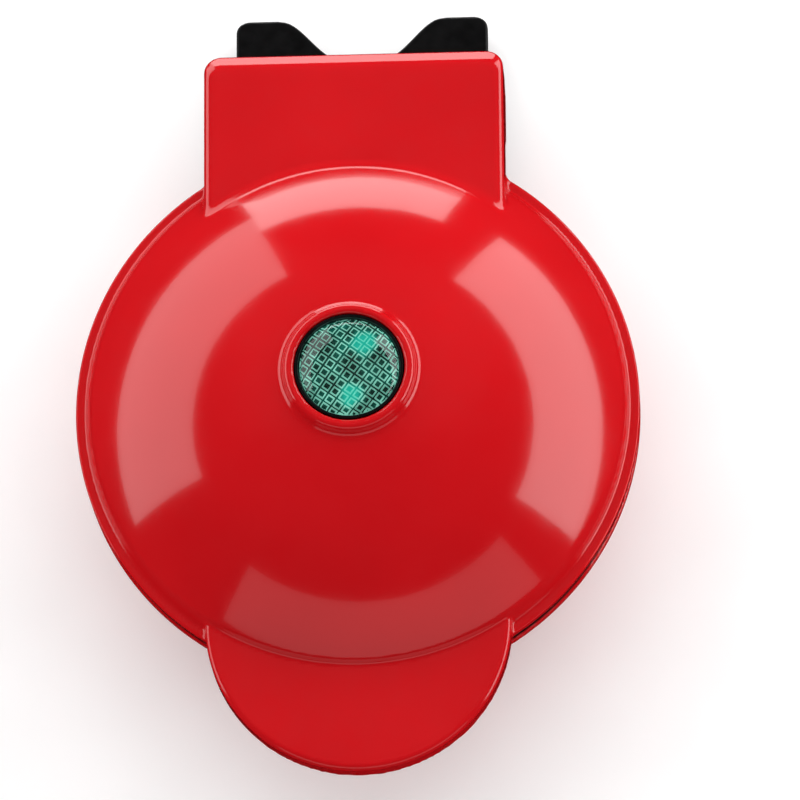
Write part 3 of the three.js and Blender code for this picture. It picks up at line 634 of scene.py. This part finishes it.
def tube(path, r, sides=20):
    """Points and faces of a round bar along a path, with rounded ends."""
    path = np.array(path, float)
    along = unit(np.gradient(path, axis=0))
    before, after = path[0] - along[0] * r, path[-1] + along[-1] * r
    ends = [(math.cos(a), math.sin(a)) for a in (0.2, 0.6, 1.0, 1.3)]
    rows = [(path[0] - along[0] * r * c, along[0], r * s) for c, s in ends]
    rows += [(p, t, r) for p, t in zip(path, along)]
    rows += [(path[-1] + along[-1] * r * c, along[-1], r * s) for c, s in reversed(ends)]
    side = np.cross(along[0], (0.31, 0.52, 0.79))
    points = [before]
    for centre, tangent, radius in rows:
        side = side - tangent * (side @ tangent)
        side /= np.linalg.norm(side)
        other = np.cross(tangent, side)
        for i in range(sides):
            a = 2 * math.pi * i / sides
            points.append(centre + radius * (math.cos(a) * side + math.sin(a) * other))
    points.append(after)
    faces = []
    for i in range(sides):
        j = (i + 1) % sides
        faces.append((0, 1 + j, 1 + i))
        for row in range(len(rows) - 1):
            low, high = 1 + row * sides, 1 + (row + 1) * sides
            faces.append((low + i, low + j, high + j, high + i))
        last = 1 + (len(rows) - 1) * sides
        faces.append((last + i, last + j, len(points) - 1))
    return np.array(points), faces


def smooth_path(points, steps):
    """Catmull-Rom curve through points."""
    p = np.array([points[0], *points, points[-1]], float)
    result = []
    for a, b, c, d in zip(p, p[1:], p[2:], p[3:]):
        for i in range(steps):
            t = i / steps
            result.append(0.5 * (2 * b + (c - a) * t + (2 * a - 5 * b + 4 * c - d) * t ** 2
                                 + (3 * b - a - 3 * c + d) * t ** 3))
    return result + [p[-1]]


def placed_shape(shape, place):
    points, faces = shape
    return place(points), faces


def joined(shapes):
    """Several sets of points and faces as one."""
    points, faces = [], []
    for more_points, more_faces in shapes:
        start = sum(len(p) for p in points)
        points.append(np.asarray(more_points))
        faces += [tuple(start + i for i in face) for face in more_faces]
    return np.concatenate(points), faces


# ---- materials ----
WHITE = (1, 1, 1, 1)


def material(name, color, roughness, metallic=0.0, **sockets):
    made = bpy.data.materials.new(name)
    made.use_nodes = True
    shader = made.node_tree.nodes["Principled BSDF"]
    shader.inputs["Base Color"].default_value = (*color, 1)
    shader.inputs["Roughness"].default_value = roughness
    shader.inputs["Metallic"].default_value = metallic
    for socket, value in sockets.items():
        shader.inputs[socket.replace("_", " ")].default_value = value
    return made


def add(made, kind, **settings):
    node = made.node_tree.nodes.new(kind)
    for key, value in settings.items():
        if key in node.inputs:
            node.inputs[key].default_value = value
        else:
            setattr(node, key, value)
    return node


def wire(made, source, target):
    made.node_tree.links.new(source, target)


def shader_of(made):
    return made.node_tree.nodes["Principled BSDF"]


def noise(made, scale, detail=3.0, stretch=(1, 1, 1)):
    where = add(made, "ShaderNodeTexCoord")
    scaled = add(made, "ShaderNodeMapping")
    scaled.inputs["Scale"].default_value = stretch
    wire(made, where.outputs["Object"], scaled.inputs["Vector"])
    texture = add(made, "ShaderNodeTexNoise", Scale=scale, Detail=detail)
    wire(made, scaled.outputs["Vector"], texture.inputs["Vector"])
    return texture


def ramp(made, source, stops):
    """Colours at positions along a value."""
    node = add(made, "ShaderNodeValToRGB")
    band = node.color_ramp
    while len(band.elements) < len(stops):
        band.elements.new(0.5)
    for element, (position, color) in zip(band.elements, stops):
        element.position = position
        element.color = (*color, 1)
    wire(made, source, node.inputs["Fac"])
    return node


def vary_color(made, source, stops):
    wire(made, ramp(made, source, stops).outputs["Color"], shader_of(made).inputs["Base Color"])


def vary_roughness(made, source, low, high):
    spread = add(made, "ShaderNodeMapRange")
    spread.inputs["To Min"].default_value = low
    spread.inputs["To Max"].default_value = high
    wire(made, source, spread.inputs["Value"])
    wire(made, spread.outputs["Result"], shader_of(made).inputs["Roughness"])


def bump(made, source, strength, distance, under=None):
    node = add(made, "ShaderNodeBump", Strength=strength, Distance=distance)
    wire(made, source, node.inputs["Height"])
    if under is not None:
        wire(made, under.outputs["Normal"], node.inputs["Normal"])
    wire(made, node.outputs["Normal"], shader_of(made).inputs["Normal"])
    return node


def red_gloss():
    made = material("red_gloss", (0.55, 0.005, 0.008), 0.13, Coat_Weight=0.35, Coat_Roughness=0.03)
    tone = noise(made, 30, 2)
    vary_color(made, tone.outputs["Fac"], [
        (0.3, (0.53, 0.0045, 0.0075)), (0.7, (0.58, 0.0055, 0.009)),
    ])
    vary_roughness(made, noise(made, 220, 4).outputs["Fac"], 0.09, 0.16)
    waves = bump(made, noise(made, 45, 2).outputs["Fac"], 0.2, 0.0004)
    bump(made, noise(made, 1100, 3).outputs["Fac"], 0.05, 0.0001, waves)
    return made


def black_phenolic():
    made = material("black_phenolic", (0.004, 0.004, 0.0045), 0.35, Specular_IOR_Level=0.25)
    grain = noise(made, 2600, 2)
    tone = noise(made, 400, 4)
    vary_color(made, tone.outputs["Fac"], [
        (0.3, (0.002, 0.002, 0.0022)), (0.7, (0.005, 0.005, 0.0053)),
    ])
    vary_roughness(made, grain.outputs["Fac"], 0.26, 0.44)
    bump(made, grain.outputs["Fac"], 0.25, 0.00012)
    return made


def non_stick():
    made = material("non_stick", (0.02, 0.02, 0.022), 0.4, 0.15)
    flecks = add(made, "ShaderNodeTexVoronoi", Scale=900.0)
    where = add(made, "ShaderNodeTexCoord")
    wire(made, where.outputs["Object"], flecks.inputs["Vector"])
    vary_color(made, flecks.outputs["Distance"], [
        (0.0, (0.16, 0.16, 0.165)), (0.16, (0.10, 0.10, 0.105)), (0.24, (0.021, 0.021, 0.023)),
        (1.0, (0.016, 0.016, 0.018)),
    ])
    grain = noise(made, 1500, 3)
    vary_roughness(made, grain.outputs["Fac"], 0.3, 0.5)
    bump(made, grain.outputs["Fac"], 0.3, 0.00015)
    return made


def plated_steel():
    made = material("plated_steel", (0.56, 0.57, 0.58), 0.3, 1.0)
    brushed = noise(made, 900, 3, (1, 8, 1))
    vary_color(made, brushed.outputs["Fac"], [(0.3, (0.48, 0.49, 0.50)), (0.7, (0.64, 0.65, 0.66))])
    vary_roughness(made, brushed.outputs["Fac"], 0.22, 0.42)
    bump(made, brushed.outputs["Fac"], 0.15, 0.0001)
    return made


def plain(name, low, high, roughness, scale, depth=0.2):
    """A moulded material with fine grain: rubber, nylon or ceramic."""
    made = material(name, low, roughness)
    grain = noise(made, scale, 4)
    vary_color(made, grain.outputs["Fac"], [(0.3, low), (0.7, high)])
    vary_roughness(made, grain.outputs["Fac"], roughness - 0.08, roughness + 0.08)
    bump(made, grain.outputs["Fac"], depth, 0.00012)
    return made


def woven_sleeve():
    made = material("woven_sleeve", (0.66, 0.62, 0.53), 0.75)
    threads = add(made, "ShaderNodeTexWave", Scale=700.0, Distortion=1.0)
    where = add(made, "ShaderNodeTexCoord")
    wire(made, where.outputs["Object"], threads.inputs["Vector"])
    vary_color(made, threads.outputs["Fac"], [(0.2, (0.48, 0.44, 0.36)), (0.8, (0.74, 0.70, 0.60))])
    vary_roughness(made, threads.outputs["Fac"], 0.65, 0.85)
    bump(made, threads.outputs["Fac"], 0.5, 0.0003)
    return made


def lens_clear():
    made = material("lens_clear", (0.86, 1.0, 0.96), 0.03, Transmission_Weight=1.0, IOR=1.49)
    vary_roughness(made, noise(made, 400, 2).outputs["Fac"], 0.02, 0.05)
    return made


def near_lamps(made, reach):
    """Mask of the painted lamp glow: 1 over a lamp, falling to 0 at reach millimetres from it,
    broken up by noise.
    """
    where = add(made, "ShaderNodeTexCoord")
    nearest = None
    for x, y in GLOW_PLACES:
        flat = add(made, "ShaderNodeVectorMath", operation="MULTIPLY")
        flat.inputs[1].default_value = (1, 1, 0)
        wire(made, where.outputs["Object"], flat.inputs[0])
        spot = add(made, "ShaderNodeVectorMath", operation="DISTANCE")
        spot.inputs[1].default_value = (x * MM, (y + AXIS_Y) * MM, 0)
        wire(made, flat.outputs["Vector"], spot.inputs[0])
        if nearest is None:
            nearest = spot.outputs["Value"]
        else:
            lesser = add(made, "ShaderNodeMath", operation="MINIMUM")
            wire(made, nearest, lesser.inputs[0])
            wire(made, spot.outputs["Value"], lesser.inputs[1])
            nearest = lesser.outputs["Value"]
    fade = add(made, "ShaderNodeMapRange")
    fade.inputs["From Max"].default_value = reach * MM
    fade.inputs["To Min"].default_value = 1.0
    fade.inputs["To Max"].default_value = 0.0
    wire(made, nearest, fade.inputs["Value"])
    patchy = add(made, "ShaderNodeMath", operation="MULTIPLY_ADD")
    wire(made, noise(made, 260, 1).outputs["Fac"], patchy.inputs[0])
    patchy.inputs[1].default_value = 0.9
    wire(made, fade.outputs["Result"], patchy.inputs[2])
    return patchy.outputs["Value"]


def lit_moulding(name, stops, reach, glow):
    """Green moulding with painted lamp light: it glows and its base colour is lighter over the
    lamps, and it takes little light from outside.
    """
    made = material(name, stops[0][1], 0.45, Emission_Strength=glow, Specular_IOR_Level=0.15)
    light = near_lamps(made, reach)
    wire(made, ramp(made, light, stops).outputs["Color"], shader_of(made).inputs["Emission Color"])
    # painted glow: base colour lighter towards the lamps
    vary_color(made, light, [(place, tuple(0.25 * c for c in color)) for place, color in stops])
    vary_roughness(made, noise(made, 900, 2).outputs["Fac"], 0.35, 0.6)
    return made


def lens_cells_look():
    return lit_moulding("lens_cells", [
        (0.3, (0.14, 0.40, 0.31)), (0.6, (0.34, 0.84, 0.68)), (1.0, (0.16, 0.80, 0.62)),
    ], 3.2, 0.7)


def lens_backing_look():
    return lit_moulding("lens_backing", [
        (0.35, (0.001, 0.016, 0.011)), (0.6, (0.004, 0.11, 0.08)), (0.85, (0.01, 0.34, 0.26)),
        (1.0, (0.015, 0.48, 0.37)),
    ], 3.5, 0.7)


def glowing(name, strength):
    """Shines evenly white and reflects nothing."""
    made = material(name, (0, 0, 0), 1.0, Emission_Strength=strength, Specular_IOR_Level=0.0)
    shader_of(made).inputs["Emission Color"].default_value = WHITE
    return made


MATERIALS = {
    "red_gloss": red_gloss(),
    "black_phenolic": black_phenolic(),
    "non_stick_aluminium": non_stick(),
    "plated_steel": plated_steel(),
    "green_lens": lens_clear(),
    "lens_cells": lens_cells_look(),
    "lens_backing": lens_backing_look(),
    "white_nylon": plain("white_nylon", (0.74, 0.73, 0.68), (0.82, 0.81, 0.77), 0.5, 800),
    "lamp_glass": plain("lamp_glass", (0.45, 0.85, 0.72), (0.6, 0.95, 0.84), 0.2, 300, 0.05),
    "ceramic": plain("ceramic", (0.72, 0.68, 0.58), (0.84, 0.80, 0.71), 0.6, 1200, 0.3),
    "black_rubber": plain("black_rubber", (0.012,) * 3, (0.024,) * 3, 0.72, 1500, 0.4),
    "woven_sleeve": woven_sleeve(),
}


# ---- pieces ----
def finish_piece(piece, body, slot, *nodes, look=None):
    """Gives a piece its material, hides the CAD nodes it stands for and, unless it bends, attaches
    it to its body.
    """
    piece.data.materials.append(MATERIALS[look or slot])
    if nodes:
        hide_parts(*nodes)
    if body:
        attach(piece, body)


def covers():
    side = RIM_R + 0.5
    low, high = (-side, -85, -5), (side, 83, 37)
    lid = solid_piece("lid_cover_shell", lid_cover_field, low, high, 0.75, to_lid)
    finish_piece(lid, "lid", "red_gloss", "lid_cover")
    low, high = (-side, -77, 0), (side, 77, 33)
    base = solid_piece("base_cover_shell", base_cover_field, low, high, 0.78, to_base)
    finish_piece(base, "base", "red_gloss", "base_cover")


def frames():
    side = RIM_R + 0.5
    low, high = (-side, -84, -6), (side, 77, 8)
    upper = solid_piece("lid_frame_ring", lid_frame_field, low, high, 0.6, to_lid)
    finish_piece(upper, "lid", "black_phenolic", "lid_frame")
    low, high = (-side, -77, -6), (side, 77, 11)
    lower = solid_piece("base_frame_ring", base_frame_field, low, high, 0.6, to_base)
    finish_piece(lower, "base", "black_phenolic", "base_frame")
    low, high = (-30, STAND["front"], 24), (30, STAND["reach"], 36)
    stand = solid_piece("rear_stand_plate", stand_field, low, high, 0.5, to_base)
    finish_piece(stand, "base", "black_phenolic", "rear_stand")


def heaters():
    """Plate, heating element and heat shield of both halves."""
    plate = solid_shape(plate_field, (-57, -57, 0), (57, 57, 19), 0.62)
    ring_r, ring_h = 36, 15.1
    angles = np.radians(np.linspace(99, 441, 140))
    arc = [(ring_r * math.cos(a), ring_r * math.sin(a), ring_h) for a in angles]
    rods = [tube([(x, 33, ring_h), (x, 43.4, ring_h)], 1.0) for x in (-7.03, 7.03)]
    element = joined([tube(arc, 3.0), *rods])
    dish = [
        (8.2, 18.9), (22, 18.9), (23, 18.3), (27, 18.3), (28, 18.9), (39.9, 18.9), (39.9, 16.5),
        (40.5, 16.5), (40.5, 19.5), (27.7, 19.5), (26.7, 18.9), (23.3, 18.9), (22.3, 19.5),
        (8.2, 19.5),
    ]
    for prefix, body, place in (("upper", "lid", to_lid), ("lower", "base", to_base)):
        piece = placed_piece(f"{prefix}_grid_plate", plate, place)
        finish_piece(piece, body, "non_stick_aluminium", f"{prefix}_plate")
        piece = make_mesh(f"{prefix}_heating_tube", *placed_shape(element, place))
        finish_piece(piece, body, "plated_steel", f"{prefix}_heating_element")
        piece = turned_piece(f"{prefix}_shield_dish", dish, place, 96, 0.25)
        finish_piece(piece, body, "plated_steel", f"{prefix}_heat_shield")


def lens():
    """Clear crown over a moulded grid of square cells."""
    r, hollow_r, crown = LENS["r"], LENS["hollow_r"], LENS["crown"]
    low, roof, top, clear = LENS["low"], LENS["roof"], LENS["backing"], LENS["clear"]
    rise = crown - LENS["edge"]
    sphere = (r ** 2 + rise ** 2) / (2 * rise)
    angles = np.linspace(0, math.asin(r / sphere), 24)
    dome = [(sphere * math.sin(a), crown - sphere + sphere * math.cos(a)) for a in angles]
    piece = turned_piece("lens_crown", [*dome, (r, clear), (0, clear)], to_lid, 96, 0.3)
    finish_piece(piece, "lid", "green_lens", "indicator_lens")
    backing = [(0, top), (r, top), (r, low), (hollow_r, low), (hollow_r, roof), (0, roof)]
    piece = turned_piece("lens_backing", backing, to_lid, 96, 0.2)
    finish_piece(piece, "lid", "green_lens", look="lens_backing")
    piece = make_mesh("lens_cells", *placed_shape(joined(lens_cells()), to_lid))
    finish_piece(piece, "lid", "green_lens", look="lens_cells")


def lens_cells(pitch=2.12, turn=-36.0, low=34.15, high=34.75, reach=10.8):
    """Square frames on a turned grid, each round a tapered well."""
    across, along = math.cos(math.radians(turn)), math.sin(math.radians(turn))
    sizes = [(0.84, low), (0.80, high), (0.62, high), (0.57, low)]
    shapes = []
    for i in range(-6, 7):
        for j in range(-6, 7):
            u, v = (i + 0.35) * pitch, (j + 0.2) * pitch
            if math.hypot(u, v) > reach + 0.5 * pitch:
                continue
            points = []
            for half, h in sizes:
                for a, b in ((-1, -1), (1, -1), (1, 1), (-1, 1)):
                    s, t = u + half * a, v + half * b
                    pull = min(1, reach / math.hypot(s, t))
                    x, y = across * s - along * t, along * s + across * t
                    points.append((pull * x, pull * y, h))
            faces = [
                (4 * row + k, 4 * row + (k + 1) % 4, 4 * row + 4 + (k + 1) % 4, 4 * row + 4 + k)
                for row in range(3) for k in range(4)
            ]
            shapes.append((points, faces))
    return shapes


def lid_details():
    bezel = [(11.3, 30.2), (13.6, 30.2), (13.6, 31.2), (12, 31.2), (12, 35.9), (11.3, 35.9)]
    piece = turned_piece("lens_bezel_ring", bezel, to_lid, 96, 0.25)
    finish_piece(piece, "lid", "black_phenolic", "lens_bezel")
    lens()
    low, high = (-10, -10, 12), (10, 10, 24)
    piece = solid_piece("thermostat_body", thermostat_field, low, high, 0.4, to_lid)
    finish_piece(piece, "lid", "ceramic", "thermostat")
    piece = solid_piece("lamp_bar", holder_field, (-22, -13, 25), (22, 13, 30), 0.4, to_lid)
    finish_piece(piece, "lid", "white_nylon", "lamp_holder")
    bulb = [(0, 24), (2.1, 24), (2.1, 31.4), (1.75, 32.6), (1.0, 33.4), (0, 33.6)]
    for node, (x, y) in zip(("power_lamp", "ready_lamp"), LAMP_PLACES):
        piece = turned_piece(f"{node}_bulb", bulb, to_lid, 32, 0.5, (x, y, 0))
        finish_piece(piece, "lid", "lamp_glass", node)


def base_details():
    end = LEG["end"] + GAP
    pad = [
        (0, 28.4), (2.4, 28.4), (2.4, end), (6.2, end), (6.2, 35.4), (5.6, PARTING_Z),
        (4.4, PARTING_Z), (3.9, 35.4), (0, 35.4),
    ]
    for number in (1, 2, 3, 4):
        node = f"foot_{number}"
        offset = (-middle(node, 0), middle(node, 1) - AXIS_Y, 0)
        piece = turned_piece(f"rubber_{node}", pad, to_base, 48, 0.35, offset)
        finish_piece(piece, "base", "black_rubber", node)
    reach = INLET["reach"]
    bush = [
        (3.1, reach - 4), (3.7, reach - 4), (3.7, reach + 0.3), (4.6, reach + 0.3),
        (4.6, reach + 1.5), (4.0, reach + 2.2), (3.1, reach + 2.2),
    ]
    piece = turned_piece("cord_bush", bush, to_base, 64, 0.3, (0, 0, CORD_H), True)
    finish_piece(piece, "base", "black_rubber", "cord_gland")
    small = [
        ("terminal_strip", terminal_field, (-11, 60, 17), (11, 71, 23), "ceramic", "terminal_block"),
        ("fuse_body", fuse_field, (-15, -3, 12), (15, 3, 17), "white_nylon", "thermal_fuse"),
        ("fuse_strap", clip_field, (-4, -10, 12), (4, 10, 18), "plated_steel", "fuse_clip"),
    ]
    for name, field, low, high, slot, node in small:
        piece = solid_piece(name, field, low, high, 0.35, to_base)
        finish_piece(piece, "base", slot, node)
    low, high = (-32, PIN_Y - 3, -3), (32, PIN_Y + 3, 3)
    piece = solid_piece("hinge_pins", pin_piece_field, low, high, 0.35, to_base)
    finish_piece(piece, "base", "plated_steel", "hinge_pin_left", "hinge_pin_right")


def hinge_lead():
    """Sleeved lead from the base to the lid, which bends at the hinge."""
    lower = [
        (60.3, 19.9), (56.2, 20), (53, 17.4), (53, 13.5), (53.6, 9.8), (56.5, 7.3), (65, 6.8),
        (69, 5.4),
    ]
    upper = [(69.6, 5), (66, 7), (60, 7.2), (55.4, 7.6), (51.4, 10.6), (48, 13.4), (43.4, 15)]
    route = [(0, y, -h) for y, h in lower] + [(0, PIN_Y, 0)] + [(0, y, h) for y, h in upper]
    piece = make_mesh("hinge_lead", *placed_shape(tube(smooth_path(route, 6), 1.5), to_lid))
    finish_piece(piece, None, "woven_sleeve", "hinge_lead_lower", "hinge_lead_upper")
    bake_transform(piece)


SCREW_HEADS = {"clip": (1.8, 1.0, 0.9), "shield": (3.0, 1.9, 1.5), "base": (3.0, 1.9, 1.5)}
USUAL_HEAD = (2.2, 1.4, 1.3)
HEAD_DOWN = ("handle", "arm", "holder", "lower_plate", "lower_shield", "base", "stand", "clip")


def screws():
    shapes = {}
    for node in sorted(name for name in frame["nodes"] if "_screw_" in name):
        kind = node.split("_screw_")[0]
        head_r, head_h, shank = SCREW_HEADS.get(kind.split("_")[-1], USUAL_HEAD)
        low, high = extent(node, 2)
        length = high - low - head_h
        key = (head_r, round(length, 2))
        if key not in shapes:
            field = screw_field((head_r, head_h), shank, length)
            side = head_r + 0.2
            box_low, box_high = (-side, -side, -length), (side, side, head_h)
            shapes[key] = solid_shape(field, box_low, box_high, 0.22)
        down = kind in HEAD_DOWN
        sign = -1 if down else 1
        seat = low + head_h if down else high - head_h
        centre = np.array((middle(node, 0), middle(node, 1), seat))

        def place(points, sign=sign, centre=centre):
            return (points * (1, sign, sign) + centre) * MM

        piece = placed_piece(f"{node}_detail", shapes[key], place)
        finish_piece(piece, body_of_node(node), "plated_steel", node)


def body_of_node(node):
    bodies = frame["record"]["behaviour"]["bodies"]
    return next(body for body, nodes in bodies.items() if node in nodes)


def build():
    covers()
    frames()
    heaters()
    lid_details()
    base_details()
    screws()
    hinge_lead()


build()

# ---- materials of the CAD nodes that still show ----
for entry in frame["record"]["subparts"]:
    for held in frame["nodes"][entry["node"]].material_slots:
        held.material = MATERIALS[entry["material_slot"]]

# ---- camera, light and floor ----
VIEW = {"azimuth": 9.422, "elevation": 73.017, "roll": -10.313}
AIM = (9.605, 1.714)  # millimetres to the right of the axis and up, in the picture
AIM_H = 4  # above the parting plane
DISTANCE = 1564.6
FOCAL_WIDTHS = 8.7016  # focal length in picture widths
SENSOR = 36  # millimetres
CENTRE = Vector((0, AXIS_Y, PARTING_Z)) * MM
WORLD_GREY = 0.52
BAND_DISTANCE = 3.0  # metres, as are the sizes of the floor and wall
BANDS = [  # name, azimuths, elevations, radiance
    ("right_band", (67, 150), (3, 31), 3.0),
    ("left_band", (204, 284), (1, 33), 2.0),
    ("rear_band", (162, 204), (-12, 9.5), 3.4),
    ("front_band", (-42, 53), (5, 28), 0.6),
]
FLOOR_R = 4
WALL_TOP = 3
FLOOR_SIDES = 96
PAPER_GLOW = 0.14
WALL_GLOW = 0.8


def direction(azimuth, elevation):
    """Unit vector towards a place round the object; azimuth 0 is in front and 90 on its right."""
    a, e = math.radians(azimuth), math.radians(elevation)
    return Vector((math.sin(a) * math.cos(e), -math.cos(a) * math.cos(e), math.sin(e)))


def facing(position, back, up):
    """Transform of something at a position that looks away from back."""
    right = up.cross(back).normalized()
    axes = Matrix((right, back.cross(right), back)).transposed().to_4x4()
    return Matrix.Translation(position) @ axes


def add_camera():
    back = direction(VIEW["azimuth"], VIEW["elevation"])
    roll = Matrix.Rotation(math.radians(VIEW["roll"]), 4, back)
    data = bpy.data.cameras.new("camera")
    data.sensor_width = SENSOR
    data.lens = SENSOR * FOCAL_WIDTHS
    data.clip_end = 50
    camera = scene_object("camera", data)
    turned = facing(Vector(), back, roll @ Vector((0, 0, 1)))
    right, up = turned.col[0].to_3d(), turned.col[1].to_3d()
    centre = Vector((0, AXIS_Y, PARTING_Z + AIM_H)) + right * AIM[0] + up * AIM[1]
    camera.matrix_world = Matrix.Translation((centre + back * DISTANCE) * MM) @ turned
    bpy.context.scene.camera = camera


def softbox(name, azimuth, elevation, size, radiance, distance):
    """A lit panel that faces the object."""
    back = direction(azimuth, elevation)
    data = bpy.data.lights.new(name, "AREA")
    data.shape = "RECTANGLE"
    data.size, data.size_y = size
    data.energy = radiance * math.pi * size[0] * size[1]
    light = scene_object(name, data)
    light.matrix_world = facing(CENTRE + back * distance, back, Vector((0, 0, 1)))
    return light


def light_band(name, azimuths, elevations, radiance):
    """A lit strip bent round the object, between two azimuths and two elevations."""
    columns = 24
    points, faces = [], []
    for i in range(columns + 1):
        azimuth = azimuths[0] + (azimuths[1] - azimuths[0]) * i / columns
        points += [CENTRE + direction(azimuth, e) * BAND_DISTANCE for e in elevations]
    for i in range(columns):
        faces.append((2 * i, 2 * i + 1, 2 * i + 3, 2 * i + 2))
    band = make_mesh(name, [tuple(p) for p in points], faces)
    band.data.materials.append(glowing(name, radiance))
    band.visible_camera = False


def add_light():
    world = bpy.data.worlds.new("studio")
    world.use_nodes = True
    world.node_tree.nodes["Background"].inputs["Color"].default_value = (WORLD_GREY,) * 3 + (1,)
    bpy.context.scene.world = world
    world.cycles_visibility.glossy = False
    for band in BANDS:
        light_band(*band)
    overhead = softbox("overhead", 180, 60, (1.2, 0.9), 1.2, 0.7)
    overhead.visible_glossy = False
    bpy.context.scene.view_settings.view_transform = "Standard"


def add_floor():
    """Pale floor that gloss doesn't mirror, and a pale wall round it that only the camera sees."""
    paper = plain("paper", (0.88, 0.88, 0.88), (0.91, 0.91, 0.91), 0.8, 40, 0.02)
    shader_of(paper).inputs["Emission Color"].default_value = WHITE
    shader_of(paper).inputs["Emission Strength"].default_value = PAPER_GLOW
    shape = bmesh.new()
    bmesh.ops.create_circle(shape, cap_ends=True, segments=FLOOR_SIDES, radius=FLOOR_R)
    mesh = bpy.data.meshes.new("floor")
    shape.to_mesh(mesh)
    shape.free()
    mesh.materials.append(paper)
    floor = scene_object("floor", mesh)
    floor.visible_glossy = False
    sides = FLOOR_SIDES
    turns = [2 * math.pi * i / sides for i in range(sides)]
    ring = [(FLOOR_R * math.cos(a), FLOOR_R * math.sin(a)) for a in turns]
    points = [(x, y, z) for z in (0, WALL_TOP) for x, y in ring]
    faces = [(i, (i + 1) % sides, sides + (i + 1) % sides, sides + i) for i in range(sides)]
    wall = make_mesh("wall", points, faces)
    wall.data.materials.append(glowing("wall", WALL_GLOW))
    wall.visible_glossy = wall.visible_diffuse = wall.visible_transmission = False


add_camera()
add_light()
add_floor()
